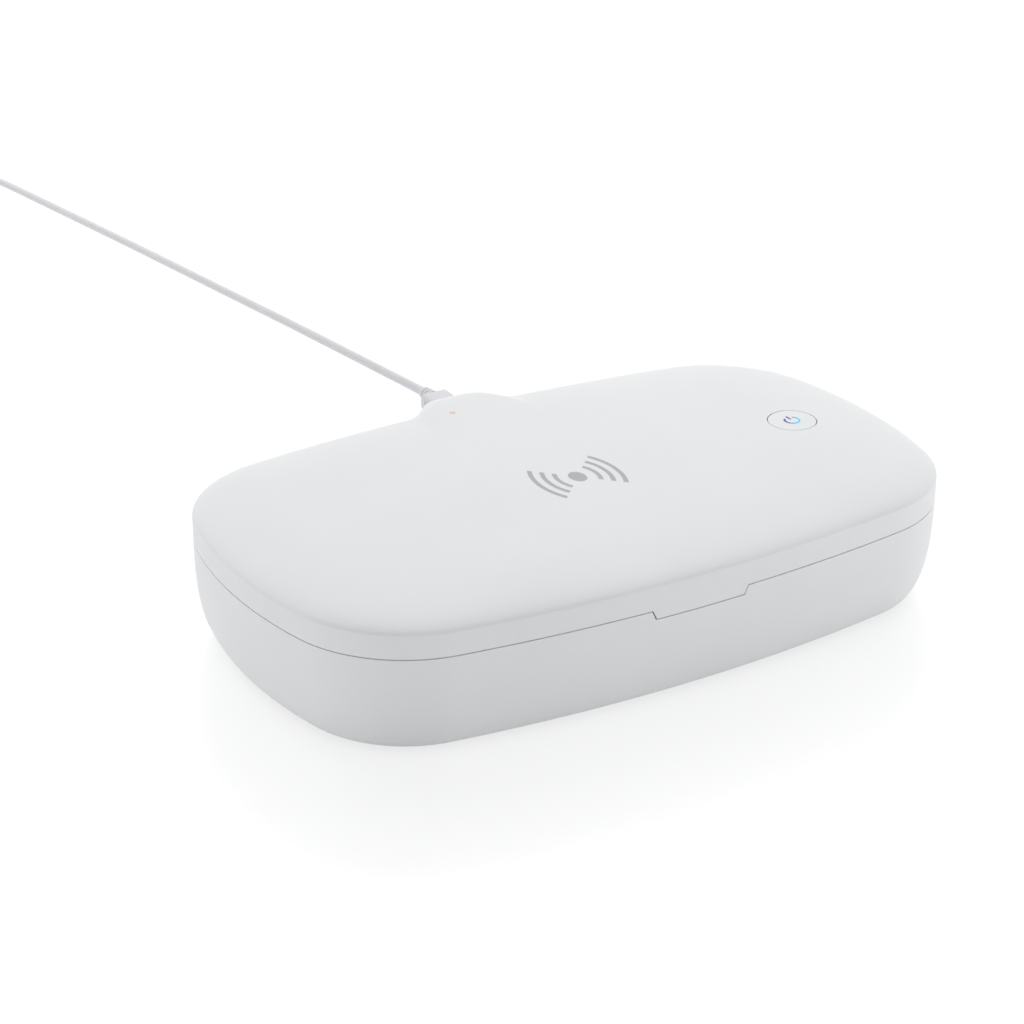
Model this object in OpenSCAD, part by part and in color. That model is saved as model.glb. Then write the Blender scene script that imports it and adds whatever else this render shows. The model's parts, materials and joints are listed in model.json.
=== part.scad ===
// Clamshell light-sanitising box for a phone, with a charging spot on its lid.
// Origin: centre of the footprint, on the surface that the feet stand on.
// +X right, +Y to the hinge and the charging lead, +Z up. Millimetres.

/* [Outline] */
// Length of the box, left to right
box_l = 215; // [200:1:235]
// Depth of the box, without the rear housing
box_w = 130.4; // [122:0.2:142]
// Bow of the long sides, as a radius
side_r = 484; // [400:2:560]
// Bow of the short ends, as a radius
end_r = 137; // [115:1:160]
// Radius of the four corners
corner_r = 38; // [32:0.5:44]

/* [Base] */
// Height of the seam between base and lid
seam_z = 30.2; // [28.6:0.2:36]
// Gap at the seam
seam_gap = 0.3; // [0.2:0.05:0.5]
// How far the wall draws in at the bottom
tuck = 7; // [4:0.5:8]
// Wall of base and lid shells
wall = 2.2; // [1.8:0.1:2.4]
// Floor of the base shell
base_floor = 2.4; // [2.2:0.1:3]
// Height that a foot stands proud
foot_proud = 0.8; // [0.4:0.1:1.4]
// Diameter of a foot
foot_d = 10; // [8:0.5:12]
// Depth of a foot's pocket
foot_pocket = 1; // [0.8:0.1:1.2]
// Feet and base screws, distance from the middle in X
foot_x = 76; // [70:1:80]
// Feet and base screws, distance from the middle in Y
foot_y = 36; // [30:1:38]

/* [Tray] */
// Thickness of the tray
tray_t = 1.4; // [1.2:0.1:1.8]
// How far the tray's deck lies below the edge of the base
deck_drop = 0.35; // [0.2:0.05:0.6]
// Distance from the box's outline to the cavity
cavity_in = 11; // [10.6:0.2:14]
// Height of the cavity's floor
cavity_z = 7.4; // [6.8:0.2:9]
// Height of a rib that the phone lies on
rib_h = 2.2; // [1.5:0.1:3]
// Width of a rib
rib_t = 2; // [1.5:0.1:3]
// Length of a rib
rib_l = 62; // [40:1:70]
// Distance from rib to rib
rib_pitch = 28; // [24:1:32]
// Diameter of a rest pad under the lid
pad_d = 5; // [3:0.2:6]
// Rest pads, distance from the middle in X
pad_x = 60; // [50:1:66]

/* [Lid] */
// Height of the lid's rim, from the seam to the crease
rim_h = 6.5; // [6:0.1:8]
// Rise of the lid's rounded top above the crease
dome_h = 4.3; // [3.8:0.1:5]
// Width of the rounded zone of the lid's top
dome_w = 28; // [22:0.5:29]
// Thickness of the lid's top
skin = 2.1; // [1.8:0.1:2.3]
// Thickness of the panel under the lid
panel_t = 1.3; // [1.2:0.1:1.5]
// Width of the front tab where it leaves the rim
tab_w = 31.4; // [20:0.2:40]
// How much narrower the tab is at its lower edge
tab_taper = 2.8; // [1:0.2:6]
// Height of the front tab below the seam
tab_h = 2.7; // [2:0.1:4]
// How far the rear housing stands out
bump_out = 7.4; // [7:0.1:9]
// Half width of the rear housing's flat back
bump_top = 5; // [5:0.5:8]
// Half width of the rear housing where it leaves the lid
bump_foot = 17; // [17:0.5:20]
// How far the lid's rounded top rises over the rear housing
bump_rise = 2.4; // [0:0.1:3]

/* [Hinge] */
// Distance from the back of the box to the hinge pin
hinge_back = 3.8; // [3.7:0.05:4.2]
// Distance from the seam down to the hinge pin
hinge_drop = 3.75; // [3.65:0.05:4.4]
// Radius of a knuckle
knuckle_r = 3.3; // [3:0.05:3.35]
// Length of the lid's knuckle
knuckle_l = 17.8; // [12:0.2:24]
// Length of each of the base's knuckles
knuckle_end = 5; // [3:0.5:8]
// Gap between knuckles
knuckle_gap = 0.3; // [0.2:0.05:0.6]
// Diameter of the hinge pin
pin_d = 2.4; // [2:0.1:3]

/* [Button] */
// Distance of the button from the middle of the lid
button_x = 77.8; // [70:0.2:78]
// Diameter of the button's cap
button_d = 14.7; // [12:0.1:16]
// Gap round the cap
button_gap = 0.25; // [0.15:0.05:0.4]
// Travel of the button
button_travel = 0.6; // [0.3:0.05:0.7]
// Width of the flange under the cap, beyond the cap
button_flange = 1.55; // [1.2:0.05:2]
// Side of the switch under the button
switch_s = 6; // [5:0.1:7]
// Height of the switch's case
switch_h = 1.8; // [1.6:0.1:2]
// Diameter of the switch's plunger
plunger_d = 3; // [2.4:0.1:3.4]
// Outer radius of the power symbol
symbol_r = 2.6; // [2:0.1:4]
// Line of the power symbol
symbol_t = 0.7; // [0.4:0.05:1]

/* [Charging spot] */
// Width of the mark's dot
dot_d = 5; // [3:0.2:7]
// Outer radius of the mark's smallest arc
arc_r = 6.7; // [5.6:0.1:9]
// Step from arc to arc
arc_step = 3.2; // [2.4:0.1:4]
// Line of an arc
arc_t = 1.3; // [0.6:0.1:1.6]
// Half angle of an arc
arc_a = 37; // [25:1:50]
// How much deeper than wide the mark is drawn
mark_stretch = 1.36; // [1:0.02:1.6]
// Mark, distance from the middle in X
mark_x = 0.4; // [-2:0.1:2]
// Mark, distance from the middle in Y
mark_y = -1.7; // [-3:0.1:3]
// Depth of the mark's inlay
mark_depth = 0.3; // [0.2:0.05:0.6]
// Outer diameter of the charging coil
coil_d = 48; // [40:1:54]
// Hole in the charging coil
coil_hole = 21; // [14:1:28]
// Thickness of the charging coil
coil_t = 1.8; // [1.2:0.1:2]
// Thickness of the ferrite sheet
ferrite_t = 0.8; // [0.4:0.1:1]

/* [Electronics] */
// Thickness of the circuit board
board_t = 1.2; // [1:0.1:1.3]
// Height of the board over the panel
board_lift = 1; // [1:0.05:1.2]
// Width of the board's main part, in Y
board_w = 56; // [50:1:58]
// Light sources, distance from the middle in X
lamp_x = 50; // [46:1:52]
// Light sources, distance from the middle in Y
lamp_y = 20; // [16:0.5:20]
// Side of a light source
lamp_s = 3.5; // [2.8:0.1:5]
// Thickness of a light source
lamp_t = 0.9; // [0.6:0.1:0.9]
// Diameter of a window
window_d = 9.7; // [8:0.1:10.5]
// Thickness of a window
window_t = 0.8; // [0.6:0.1:0.9]
// Diameter of the indicator
indicator_d = 1.8; // [1.2:0.1:3]
// Indicator, distance from the middle in X
indicator_x = -7.5; // [-8:0.5:8]
// Indicator, distance from the middle in Y
indicator_y = 55.5; // [52:0.5:58]
// Width of the charging socket
socket_w = 7.6; // [7:0.1:9]
// Height of the charging socket
socket_h = 2.6; // [2.4:0.1:2.7]
// Length of the charging socket
socket_l = 5.6; // [5:0.1:6.5]
// Diameter of a latch magnet
magnet_d = 6; // [4:0.1:6]
// Latch magnets, distance from the middle in X
magnet_x = 30; // [24:1:44]
// Thickness of a magnet
magnet_t = 2; // [1.5:0.1:2.4]

/* [Lead] */
// Diameter of the lead
cord_d = 2.7; // [2.6:0.1:3]
// Width of the plug at the box
plug_w = 9.6; // [9:0.1:12]
// Height of the plug at the box
plug_h = 5.4; // [5.4:0.1:8]
// Length of the plug's grip
plug_l = 6.5; // [6:0.5:20]
// Length of the plug's strain relief
boot_l = 6.5; // [5:0.5:14]
// Width of the supply plug
supply_w = 16; // [14.5:0.5:18]
// Height of the supply plug
supply_h = 8; // [7:0.2:9]
// Length of the supply plug's grip
supply_l = 24; // [18:1:32]

/* [Hidden] */
fit = 0.02;           // glued and pressed pieces
run = 0.05;           // running fit at the hinge pin
slip = 0.08;          // guided slide of the button
clear = 0.3;          // free gap between separate pieces
eps = 0.01;

a = box_l/2;
b = box_w/2;
base_z = foot_proud;
edge_z = seam_z - seam_gap;
deck_z = edge_z - deck_drop;
crease_z = seam_z + rim_h;
top_z = crease_z + dome_h;
panel_z = seam_z + panel_t;
skin_z = top_z - skin;
board_z = panel_z + board_lift;
board_top = board_z + board_t;
port_z = board_top + socket_h/2;
hinge_y = b + hinge_back;
hinge_z = seam_z - hinge_drop;
back_y = b + bump_out;

// centres and angles of the outline's tangent arcs
s_c = [0, b - side_r];
e_c = [a - end_r, 0];
s_k = side_r - corner_r;
e_k = end_r - corner_r;
k_len = norm(e_c - s_c);
k_u = (e_c - s_c)/k_len;
k_a = (s_k*s_k - e_k*e_k + k_len*k_len)/(2*k_len);
k_h = sqrt(s_k*s_k - k_a*k_a);
k_c = s_c + k_a*k_u + k_h*[-k_u[1], k_u[0]];
k_d = s_c + k_a*k_u - k_h*[-k_u[1], k_u[0]];
c_c = k_c[0] + k_c[1] > k_d[0] + k_d[1] ? k_c : k_d;
t_end = atan2(c_c[1] - e_c[1], c_c[0] - e_c[0]);
t_side = atan2(c_c[1] - s_c[1], c_c[0] - s_c[0]);

function dir(t) = [cos(t), sin(t)];
function side_y(x, d) = s_c[1] + sqrt(pow(side_r - d, 2) - x*x);
function swell(x, out, ht, hf) = abs(x) <= ht ? out : abs(x) >= hf ? 0
    : out*(0.5 + 0.5*cos(180*(abs(x) - ht)/(hf - ht)));
function quarter(d) = concat(
    [for (i = [0:3]) e_c + (end_r - d)*dir(t_end*i/4)],
    [for (i = [0:9]) c_c + (corner_r - d)*dir(t_end + (t_side - t_end)*i/9)]);
// outline drawn in by d; the back swells out by the rear housing
function ring(d, bx = [48, 24], out = 0, ht = 1, hf = 2) =
    let (q = quarter(d), n = len(q) - 1, m = len(bx) - 1, fx = [48, 24])
    concat(q,
        [for (x = bx) [x, side_y(x, d) + swell(x, out, ht, hf)]],
        [[0, side_y(0, d) + out]],
        [for (i = [m:-1:0]) [-bx[i], side_y(bx[i], d) + swell(bx[i], out, ht, hf)]],
        [for (i = [n:-1:0]) [-q[i][0], q[i][1]]],
        [for (i = [1:n]) [-q[i][0], -q[i][1]]],
        [for (x = [-fx[0], -fx[1], 0, fx[1], fx[0]]) [x, -side_y(x, d)]],
        [for (i = [n:-1:1]) [q[i][0], -q[i][1]]]);
function at_z(r, z) = [for (p = r) [p[0], p[1], z]];
function mix(r, s, t) = [for (i = [0:len(r) - 1]) r[i]*(1 - t) + s[i]*t];

// closed skin over a stack of rings with equal point counts
function mid(r) = [for (k = [0:2]) sum([for (p = r) p[k]])/len(r)];
function sum(v, i = 0) = i == len(v) - 1 ? v[i] : v[i] + sum(v, i + 1);
module loft(rings) {
    n = len(rings[0]);
    m = len(rings) - 1;
    polyhedron(
        points = concat([for (r = rings) each r], [mid(rings[0]), mid(rings[m])]),
        faces = [for (i = [0:n - 1]) let (j = (i + 1) % n) each concat(
            [[(m + 1)*n, i, j], [(m + 1)*n + 1, m*n + j, m*n + i]],
            [for (k = [0:m - 1]) each [
                [k*n + i, (k + 1)*n + i, (k + 1)*n + j],
                [k*n + i, (k + 1)*n + j, k*n + j]]])],
        convexity = 6);
}

// the origin lies under the middle of the box with its rear housing
module centred() {
    translate([0, -bump_out/2, 0]) children();
}

module plate(d, z0, z1) {
    translate([0, 0, z0]) linear_extrude(z1 - z0) polygon(ring(d));
}

module rod(d, z0, z1, fn = 32) {
    translate([0, 0, z0]) cylinder(d = d, h = z1 - z0, $fn = fn);
}

module block(w, l, z0, z1) {
    translate([-w/2, -l/2, z0]) cube([w, l, z1 - z0]);
}

// flat shape with rounded corners, centred
module soft_rect(w, h, r) {
    square([w - 2*r, h], center = true);
    square([w, h - 2*r], center = true);
    for (x = [-1, 1], y = [-1, 1]) translate([x*(w/2 - r), y*(h/2 - r)]) circle(r = r, $fn = 24);
}

// a flat shape drawn in X and Z, from y0 to y1
module along_y(y0, y1, z) {
    translate([0, y1, z]) rotate([90, 0, 0]) linear_extrude(y1 - y0) children();
}

// ---- base ----

lower = edge_z - base_z;
base_inner = base_z + base_floor;
boss_z = base_inner + 1.2;
tray_floor = cavity_z - tray_t;
screw_head_z = base_z + foot_pocket + 0.1;
screw_head_h = 1.1;
deck_in = wall + 0.5;
ledge_in = (deck_in + cavity_in - tray_t)/2;
ledge_y = side_y(magnet_x, ledge_in);
sensor_x = magnet_x/2;

function tuck_at(u) = tuck*(1 - sqrt(1 - pow(u, 2.6)));
base_u = [0, 0.3, 0.5, 0.64, 0.76, 0.86, 0.93, 0.975, 1];

module at_feet(sx, sy) {
    translate([sx*foot_x, sy*foot_y, 0]) children();
}

module tab_shape(extra) {
    polygon([[-tab_w/2 - extra, 3], [-tab_w/2 - extra, 0], [-(tab_w - tab_taper)/2 - extra, -tab_h - extra],
        [(tab_w - tab_taper)/2 + extra, -tab_h - extra], [tab_w/2 + extra, 0], [tab_w/2 + extra, 3]]);
}

module hinge_bar(x0, x1, d) {
    translate([x0, hinge_y, hinge_z]) rotate([0, 90, 0]) cylinder(d = d, h = x1 - x0, $fn = 48);
}

module base_shell() {
    color([0.88, 0.89, 0.90]) centred() difference() {
        union() {
            difference() {
                loft([for (i = [len(base_u) - 1:-1:0])
                    at_z(ring(tuck_at(base_u[i])), edge_z - lower*base_u[i])]);
                loft(concat(
                    [for (i = [len(base_u) - 2:-1:0])
                        if (edge_z - lower*base_u[i] > base_inner + 0.2 || i == len(base_u) - 2)
                            let (z = max(edge_z - lower*base_u[i], base_inner))
                            at_z(ring(tuck_at((edge_z - z)/lower) + wall), z)],
                    [at_z(ring(wall), edge_z + 1)]));
            }
            for (sx = [-1, 1], sy = [-1, 1]) at_feet(sx, sy) rod(9, base_inner - 0.2, boss_z);
            for (s = [-1, 1]) {
                x0 = s > 0 ? knuckle_l/2 + knuckle_gap : -knuckle_l/2 - knuckle_gap - knuckle_end;
                hinge_bar(x0, x0 + knuckle_end, 2*knuckle_r);
                translate([x0, b - 1.2, hinge_z - knuckle_r])
                    cube([knuckle_end, hinge_back + 1.2, 2*knuckle_r - 0.1]);
            }
        }
        for (sx = [-1, 1], sy = [-1, 1]) at_feet(sx, sy) {
            rod(foot_d + 0.4, base_z - 1, base_z + foot_pocket, 48);
            rod(5, base_z, screw_head_z + screw_head_h);
            rod(2.5, base_z, boss_z + 1);
        }
        along_y(-b - 2, -b + wall + 1.2, seam_z) tab_shape(clear);
        hinge_bar(-knuckle_l, knuckle_l, pin_d + 2*fit);
    }
}

module base_liner() {
    color([0.80, 0.82, 0.84]) centred() difference() {
        union() {
            plate(deck_in, deck_z - tray_t, deck_z);
            loft([
                at_z(ring(cavity_in - tray_t + 4.2), tray_floor),
                at_z(ring(cavity_in - tray_t + 1.4), tray_floor + 3),
                at_z(ring(cavity_in - tray_t), deck_z - tray_t/2)]);
            for (sx = [-1, 1], sy = [-1, 1]) at_feet(sx, sy) rod(7, boss_z, tray_floor + 0.2);
        }
        loft([at_z(ring(cavity_in + 4.2), cavity_z), at_z(ring(cavity_in + 1.4), cavity_z + 3),
            at_z(ring(cavity_in), deck_z), at_z(ring(cavity_in), deck_z + 1)]);
        for (sx = [-1, 1], sy = [-1, 1]) at_feet(sx, sy) rod(2.2 + 2*fit, boss_z - 1, cavity_z - 0.4);
    }
    color([0.80, 0.82, 0.84]) centred() for (i = [-2:2]) translate([i*rib_pitch, 0, 0])
        block(rib_t, rib_l, cavity_z - 0.2, cavity_z + rib_h);
}

module foot(sx, sy) {
    color([0.55, 0.56, 0.58]) centred() at_feet(sx, sy) rod(foot_d, 0, base_z + foot_pocket, 48);
}
module foot_fl() { foot(-1, -1); }
module foot_fr() { foot(1, -1); }
module foot_bl() { foot(-1, 1); }
module foot_br() { foot(1, 1); }

module base_screw(sx, sy) {
    color("silver") centred() at_feet(sx, sy) {
        rod(4.4, screw_head_z, screw_head_z + screw_head_h);
        rod(2.2, screw_head_z + screw_head_h - 0.2, cavity_z - 0.5);
    }
}
module base_screw_fl() { base_screw(-1, -1); }
module base_screw_fr() { base_screw(1, -1); }
module base_screw_bl() { base_screw(-1, 1); }
module base_screw_br() { base_screw(1, 1); }

module on_ledge(x) { translate([x, -side_y(x, ledge_in), 0]) children(); }

module base_magnet(s) {
    color([0.62, 0.63, 0.66]) centred()
        on_ledge(s*magnet_x) rod(magnet_d, deck_z - tray_t - magnet_t, deck_z - tray_t, 48);
}
module base_magnet_l() { base_magnet(-1); }
module base_magnet_r() { base_magnet(1); }

module sensor_magnet() {
    color([0.62, 0.63, 0.66]) centred()
        on_ledge(sensor_x) rod(4, deck_z - tray_t - magnet_t, deck_z - tray_t);
}

module rest_pad(s) {
    color([0.85, 0.87, 0.88]) centred() on_ledge(s*pad_x) rod(pad_d, deck_z, seam_z);
}
module rest_pad_l() { rest_pad(-1); }
module rest_pad_r() { rest_pad(1); }

module hinge_pin() {
    reach = knuckle_l/2 + knuckle_gap + knuckle_end - 0.2;
    color("silver") centred() hinge_bar(-reach, reach, pin_d);
}

// ---- lid ----

bump_x = [46, 34, 26, 21.5, 19, 16.5, 14, 11.5, 9, 7, 3.5];
lid_screw_x = a - 25.5;
lid_screw_y = b - 27.2;
lid_head_h = 0.7;
switch_z = board_top + switch_h;
plunger_z = switch_z + 0.7;
flange_z = plunger_z + 0.7;
flange_d = button_d + 2*button_flange;
collar_d = flange_d + 2*slip;
board_x0 = -62;
board_x1 = button_x + 8.2;
lens_z = top_z - 0.1;

// outline of the lid, drawn in by d
function lid_edge(d) = ring(d, bump_x, bump_out, bump_top - d, bump_foot - d);
// a ring of the rounded top at angle t, drawn in and lifted over the rear housing, up to height top
function humped(r, d, t, top) = [for (p = r) let (
        w = p[1] > 0 ? swell(p[0], bump_out, bump_top - d, bump_foot - d) : 0,
        v = p[1] > 0 ? swell(p[0], bump_rise, bump_top + 3.5 - d, bump_foot + 2.3 - d) : 0)
    [p[0], p[1] - w*(cos(t) - pow(cos(t), 1.8)), min(top, p[2] + v*sin(1.46*t))]];
// upright rim, then the rounded top
module lid_form(d, z0, zc, zt, steps) {
    edge = lid_edge(d);
    flat = ring(dome_w + d*0.2, bump_x);
    translate([0, 0, z0]) linear_extrude(zc - z0) polygon(edge);
    loft([for (k = [0:steps]) let (t = 90*k/steps)
        humped(at_z(mix(edge, flat, 1 - cos(t)), zc + (zt - zc)*sin(t)), d, t, zt)]);
}

module at_lid_screws(sx, sy) { translate([sx*lid_screw_x, sy*lid_screw_y, 0]) children(); }

module lid_shell() {
    color([0.91, 0.92, 0.93]) centred() difference() {
        union() {
            difference() {
                lid_form(0, seam_z, crease_z, top_z, 7);
                lid_form(wall, seam_z - 1, crease_z - 1.5, skin_z, 5);
            }
            // floor of the rear housing, which carries the knuckle
            intersection() {
                translate([0, 0, seam_z + 0.2]) linear_extrude(panel_t) polygon(lid_edge(wall/2));
                translate([-bump_foot + 0.4, b - wall - clear/2, seam_z])
                    cube([2*bump_foot - 0.8, bump_out + wall, panel_t]);
            }
            hinge_bar(-knuckle_l/2, knuckle_l/2, 2*knuckle_r);
            translate([-knuckle_l/2, hinge_y - 2.4, hinge_z])
                cube([knuckle_l, 2.4 + knuckle_r, hinge_drop + 0.6]);
            // front tab
            intersection() {
                along_y(-b - 2, -b + 3, seam_z) tab_shape(0);
                difference() {
                    plate(0, seam_z - tab_h - 1, seam_z + 2);
                    plate(wall, seam_z - tab_h - 2, seam_z + 3);
                }
            }
            // guide of the button
            translate([button_x, 0, 0]) rod(collar_d + 2.4, flange_z - 0.4, skin_z + 0.3, 64);
            for (sx = [-1, 1], sy = [-1, 1]) at_lid_screws(sx, sy) rod(6, panel_z, skin_z + 0.1);
        }
        translate([button_x, 0, 0]) {
            rod(collar_d, flange_z - 1, skin_z, 64);
            rod(button_d + 2*button_gap, skin_z - 1, top_z + 1, 64);
        }
        for (sx = [-1, 1], sy = [-1, 1]) at_lid_screws(sx, sy) rod(1.8 + 2*fit, panel_z - 1, panel_z + 4.5);
        translate([indicator_x, indicator_y, 0]) rod(indicator_d + 2*fit, board_top, top_z + 1);
        along_y(port_y0 - clear, back_y + 1, port_z)
            square([socket_w + 0.8, socket_h + clear], center = true);
        mark(top_z - mark_depth, top_z + 1, fit);
        hinge_bar(-knuckle_l, knuckle_l, pin_d + 2*run);
    }
}

// a point of the stretched mark
function mark_at(r, t) = [r*cos(t), mark_stretch*r*sin(t)];
module mark(z0, z1, extra) {
    translate([mark_x, mark_y, z0]) linear_extrude(z1 - z0) {
        polygon([for (i = [0:47]) mark_at(dot_d/2 + extra, i*7.5)]);
        for (s = [0, 180], i = [0:2]) {
            r = arc_r + i*arc_step;
            t = arc_a + extra*5;
            polygon(concat([for (k = [-12:12]) mark_at(r + extra, s + t*k/12)],
                [for (k = [12:-1:-12]) mark_at(r - arc_t - extra, s + t*k/12)]));
        }
    }
}
module charge_mark() { color([0.72, 0.73, 0.73]) centred() mark(top_z - mark_depth, top_z, 0); }

module at_lamps(sx, sy) { translate([sx*lamp_x, sy*lamp_y, 0]) children(); }
module at_standoffs(sx, sy) { translate([sx*(lamp_x + 8), sy*(board_w/2 - 4), 0]) children(); }
window_z = panel_z - window_t;

module lid_liner() {
    color([0.83, 0.85, 0.87]) centred() difference() {
        union() {
            plate(wall + clear/2, seam_z, panel_z);
            for (sx = [-1, 1], sy = [-1, 1]) at_standoffs(sx, sy) rod(5, panel_z - 0.2, board_z);
        }
        for (sx = [-1, 1], sy = [-1, 1]) {
            at_lamps(sx, sy) {
                rod(window_d - 1.7, seam_z - 1, panel_z, 48);
                rod(window_d + 2*fit, window_z, panel_z + 1, 48);
            }
            at_standoffs(sx, sy) rod(1.6 + 2*fit, seam_z + 0.6, board_z + 1);
            at_lid_screws(sx, sy) {
                rod(2.1, seam_z - 1, panel_z + 1);
                rod(4.2, seam_z - 1, seam_z + lid_head_h + 0.1);
            }
        }
    }
}

module lid_screw(sx, sy) {
    color("silver") centred() at_lid_screws(sx, sy) {
        rod(4, seam_z + 0.1, seam_z + 0.1 + lid_head_h);
        rod(1.8, seam_z + lid_head_h, panel_z + 4.2);
    }
}
module lid_screw_fl() { lid_screw(-1, -1); }
module lid_screw_fr() { lid_screw(1, -1); }
module lid_screw_bl() { lid_screw(-1, 1); }
module lid_screw_br() { lid_screw(1, 1); }

module uv_window(sx, sy) {
    color([0.75, 0.82, 0.92]) centred() at_lamps(sx, sy) rod(window_d, window_z, panel_z, 48);
}
module uv_window_fl() { uv_window(-1, -1); }
module uv_window_fr() { uv_window(1, -1); }
module uv_window_bl() { uv_window(-1, 1); }
module uv_window_br() { uv_window(1, 1); }

module uv_lamp(sx, sy) {
    color([0.93, 0.86, 0.55]) centred()
        at_lamps(sx, sy) block(lamp_s, lamp_s, board_z - lamp_t, board_z);
}
module uv_lamp_fl() { uv_lamp(-1, -1); }
module uv_lamp_fr() { uv_lamp(1, -1); }
module uv_lamp_bl() { uv_lamp(-1, 1); }
module uv_lamp_br() { uv_lamp(1, 1); }

module main_board() {
    color([0.12, 0.38, 0.24]) centred() difference() {
        union() {
            translate([board_x0, -board_w/2, board_z]) cube([board_x1 - board_x0, board_w, board_t]);
            translate([-12, board_w/2 - 1, board_z]) cube([24, b - 5 - board_w/2 + 1, board_t]);
            translate([-4.6, b - 7, board_z]) cube([9.2, back_y - wall - 1.2 - b + 7, board_t]);
        }
        for (sx = [-1, 1], sy = [-1, 1]) at_standoffs(sx, sy) rod(1.9, board_z - 1, board_top + 1);
    }
}

module board_screw(sx, sy) {
    color("silver") centred() at_standoffs(sx, sy) {
        rod(3.4, board_top, board_top + 1);
        rod(1.6, seam_z + 1, board_top + 0.2);
    }
}
module board_screw_fl() { board_screw(-1, -1); }
module board_screw_fr() { board_screw(1, -1); }
module board_screw_bl() { board_screw(-1, 1); }
module board_screw_br() { board_screw(1, 1); }

module controller_chip() {
    color([0.12, 0.12, 0.13]) centred() translate([-30, 0, 0]) block(7, 7, board_top, board_top + 1);
}

module power_inductor() {
    color([0.25, 0.25, 0.26]) centred() translate([-42, 14, 0]) block(6, 6, board_top, board_top + 1.6);
}

module charging_coil() {
    color([0.75, 0.45, 0.25]) centred() difference() {
        rod(coil_d, skin_z - coil_t, skin_z, 72);
        rod(coil_hole, skin_z - coil_t - 1, skin_z + 1, 72);
    }
}
module ferrite_sheet() {
    color([0.20, 0.20, 0.21]) centred() rod(coil_d + 4, skin_z - coil_t - ferrite_t, skin_z - coil_t, 72);
}

module lid_magnet(s) {
    color([0.62, 0.63, 0.66]) centred() on_ledge(s*magnet_x) rod(magnet_d, panel_z, panel_z + magnet_t, 48);
}
module lid_magnet_l() { lid_magnet(-1); }
module lid_magnet_r() { lid_magnet(1); }

module lid_sensor() {
    color([0.15, 0.15, 0.16]) centred() on_ledge(sensor_x) block(7, 2.4, panel_z, panel_z + 1.8);
}

port_y1 = back_y - 0.6;
port_y0 = port_y1 - socket_l;
port_wall = 0.3;
module usb_receptacle() {
    color([0.78, 0.79, 0.80]) centred() difference() {
        along_y(port_y0, port_y1, port_z) square([socket_w, socket_h], center = true);
        along_y(port_y0 + port_wall, port_y1 + 1, port_z)
            square([socket_w - 2*port_wall, socket_h - 2*port_wall], center = true);
    }
}

module indicator_led() {
    color([0.95, 0.90, 0.75]) centred()
        translate([indicator_x, indicator_y, 0]) block(2, 1.2, board_top, board_top + 0.8);
}
module indicator_lens() {
    color([0.95, 0.62, 0.25]) centred()
        translate([indicator_x, indicator_y, 0]) rod(indicator_d, board_top + 0.9, lens_z);
}

module tact_switch() {
    color([0.16, 0.16, 0.17]) centred() translate([button_x, 0, 0]) difference() {
        block(switch_s, switch_s, board_top, switch_z);
        rod(plunger_d + 2*slip, board_top + 0.1, switch_z + 1);
    }
}
module switch_plunger() {
    color([0.85, 0.85, 0.83]) centred() translate([button_x, 0, 0])
        rod(plunger_d, board_top + 0.2 + button_travel, plunger_z);
}

// ---- button ----

module power_symbol(z0, z1, extra) {
    translate([0, 0, z0]) rotate_extrude(angle = 290 + extra*10, start = 125 - extra*5, $fn = 72)
        translate([symbol_r - symbol_t - extra, 0]) square([symbol_t + 2*extra, z1 - z0]);
    translate([-symbol_t/2 - extra, 0.6 - extra, z0]) cube([symbol_t + 2*extra, symbol_r + 2*extra, z1 - z0]);
}
module power_button() {
    color([0.93, 0.94, 0.95]) centred() translate([button_x, 0, 0]) difference() {
        union() {
            rod(button_d, flange_z, top_z, 64);
            rod(flange_d, flange_z, skin_z - clear, 64);
            rod(4, plunger_z, flange_z + 0.2);
        }
        power_symbol(top_z - 0.5, top_z + 1, fit);
    }
}
module button_symbol() {
    color([0.35, 0.62, 0.95]) centred() translate([button_x, 0, 0]) power_symbol(top_z - 0.5, top_z, 0);
}

// ---- lead ----

plug_y0 = back_y + clear;
boot_y0 = plug_y0 + plug_l;
boot_y1 = boot_y0 + boot_l;

module plug_body() {
    color([0.86, 0.86, 0.88]) centred() {
        along_y(plug_y0, boot_y0, port_z) soft_rect(plug_w, plug_h, 1.8);
        translate([0, boot_y0 - 0.2, port_z]) rotate([-90, 0, 0])
            cylinder(d1 = cord_d + 2.3, d2 = cord_d + 1.3, h = boot_l + 0.2, $fn = 40);
    }
}
module plug_shell() {
    color([0.78, 0.79, 0.80]) centred() along_y(port_y0 + port_wall + 0.1, plug_y0, port_z)
        square([socket_w - 2*port_wall - 0.14, socket_h - 2*port_wall - 0.14], center = true);
}

// the lead goes straight out of the plug, down to the floor and into the coil
turn_n = 5.5;                       // turns of the put-away coil
layer_n = 2;
wind_r = 20.4;                      // radius of the outermost turn
wind_step = cord_d + 0.5;           // from turn to turn, and from layer to layer
tie_t = 0.8;                        // thickness of the tie
wind_z = cord_d/2 + tie_t + 0.1;    // height of the lower layer
wind_c = [-34, 478];                // centre of the coil
wind_x = wind_c[0] + wind_r;
// points of the free stretch, as chosen
route = [
    [-0.6, 125, 31.9], [-2, 172, 28.5], [-3.3, 213, 25.3], [-6, 275, 21],
    [-9, 340, 16.3], [-11.4, 405, 10.8], [-13.2, 440, 6]
];
knots = concat([[0, boot_y1, port_z], [0, boot_y1 + 7, port_z - 0.6]], route,
    [[wind_x, wind_c[1] - 16, wind_z + 0.5], [wind_x, wind_c[1] - 6, wind_z], [wind_x, wind_c[1], wind_z]]);

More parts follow.
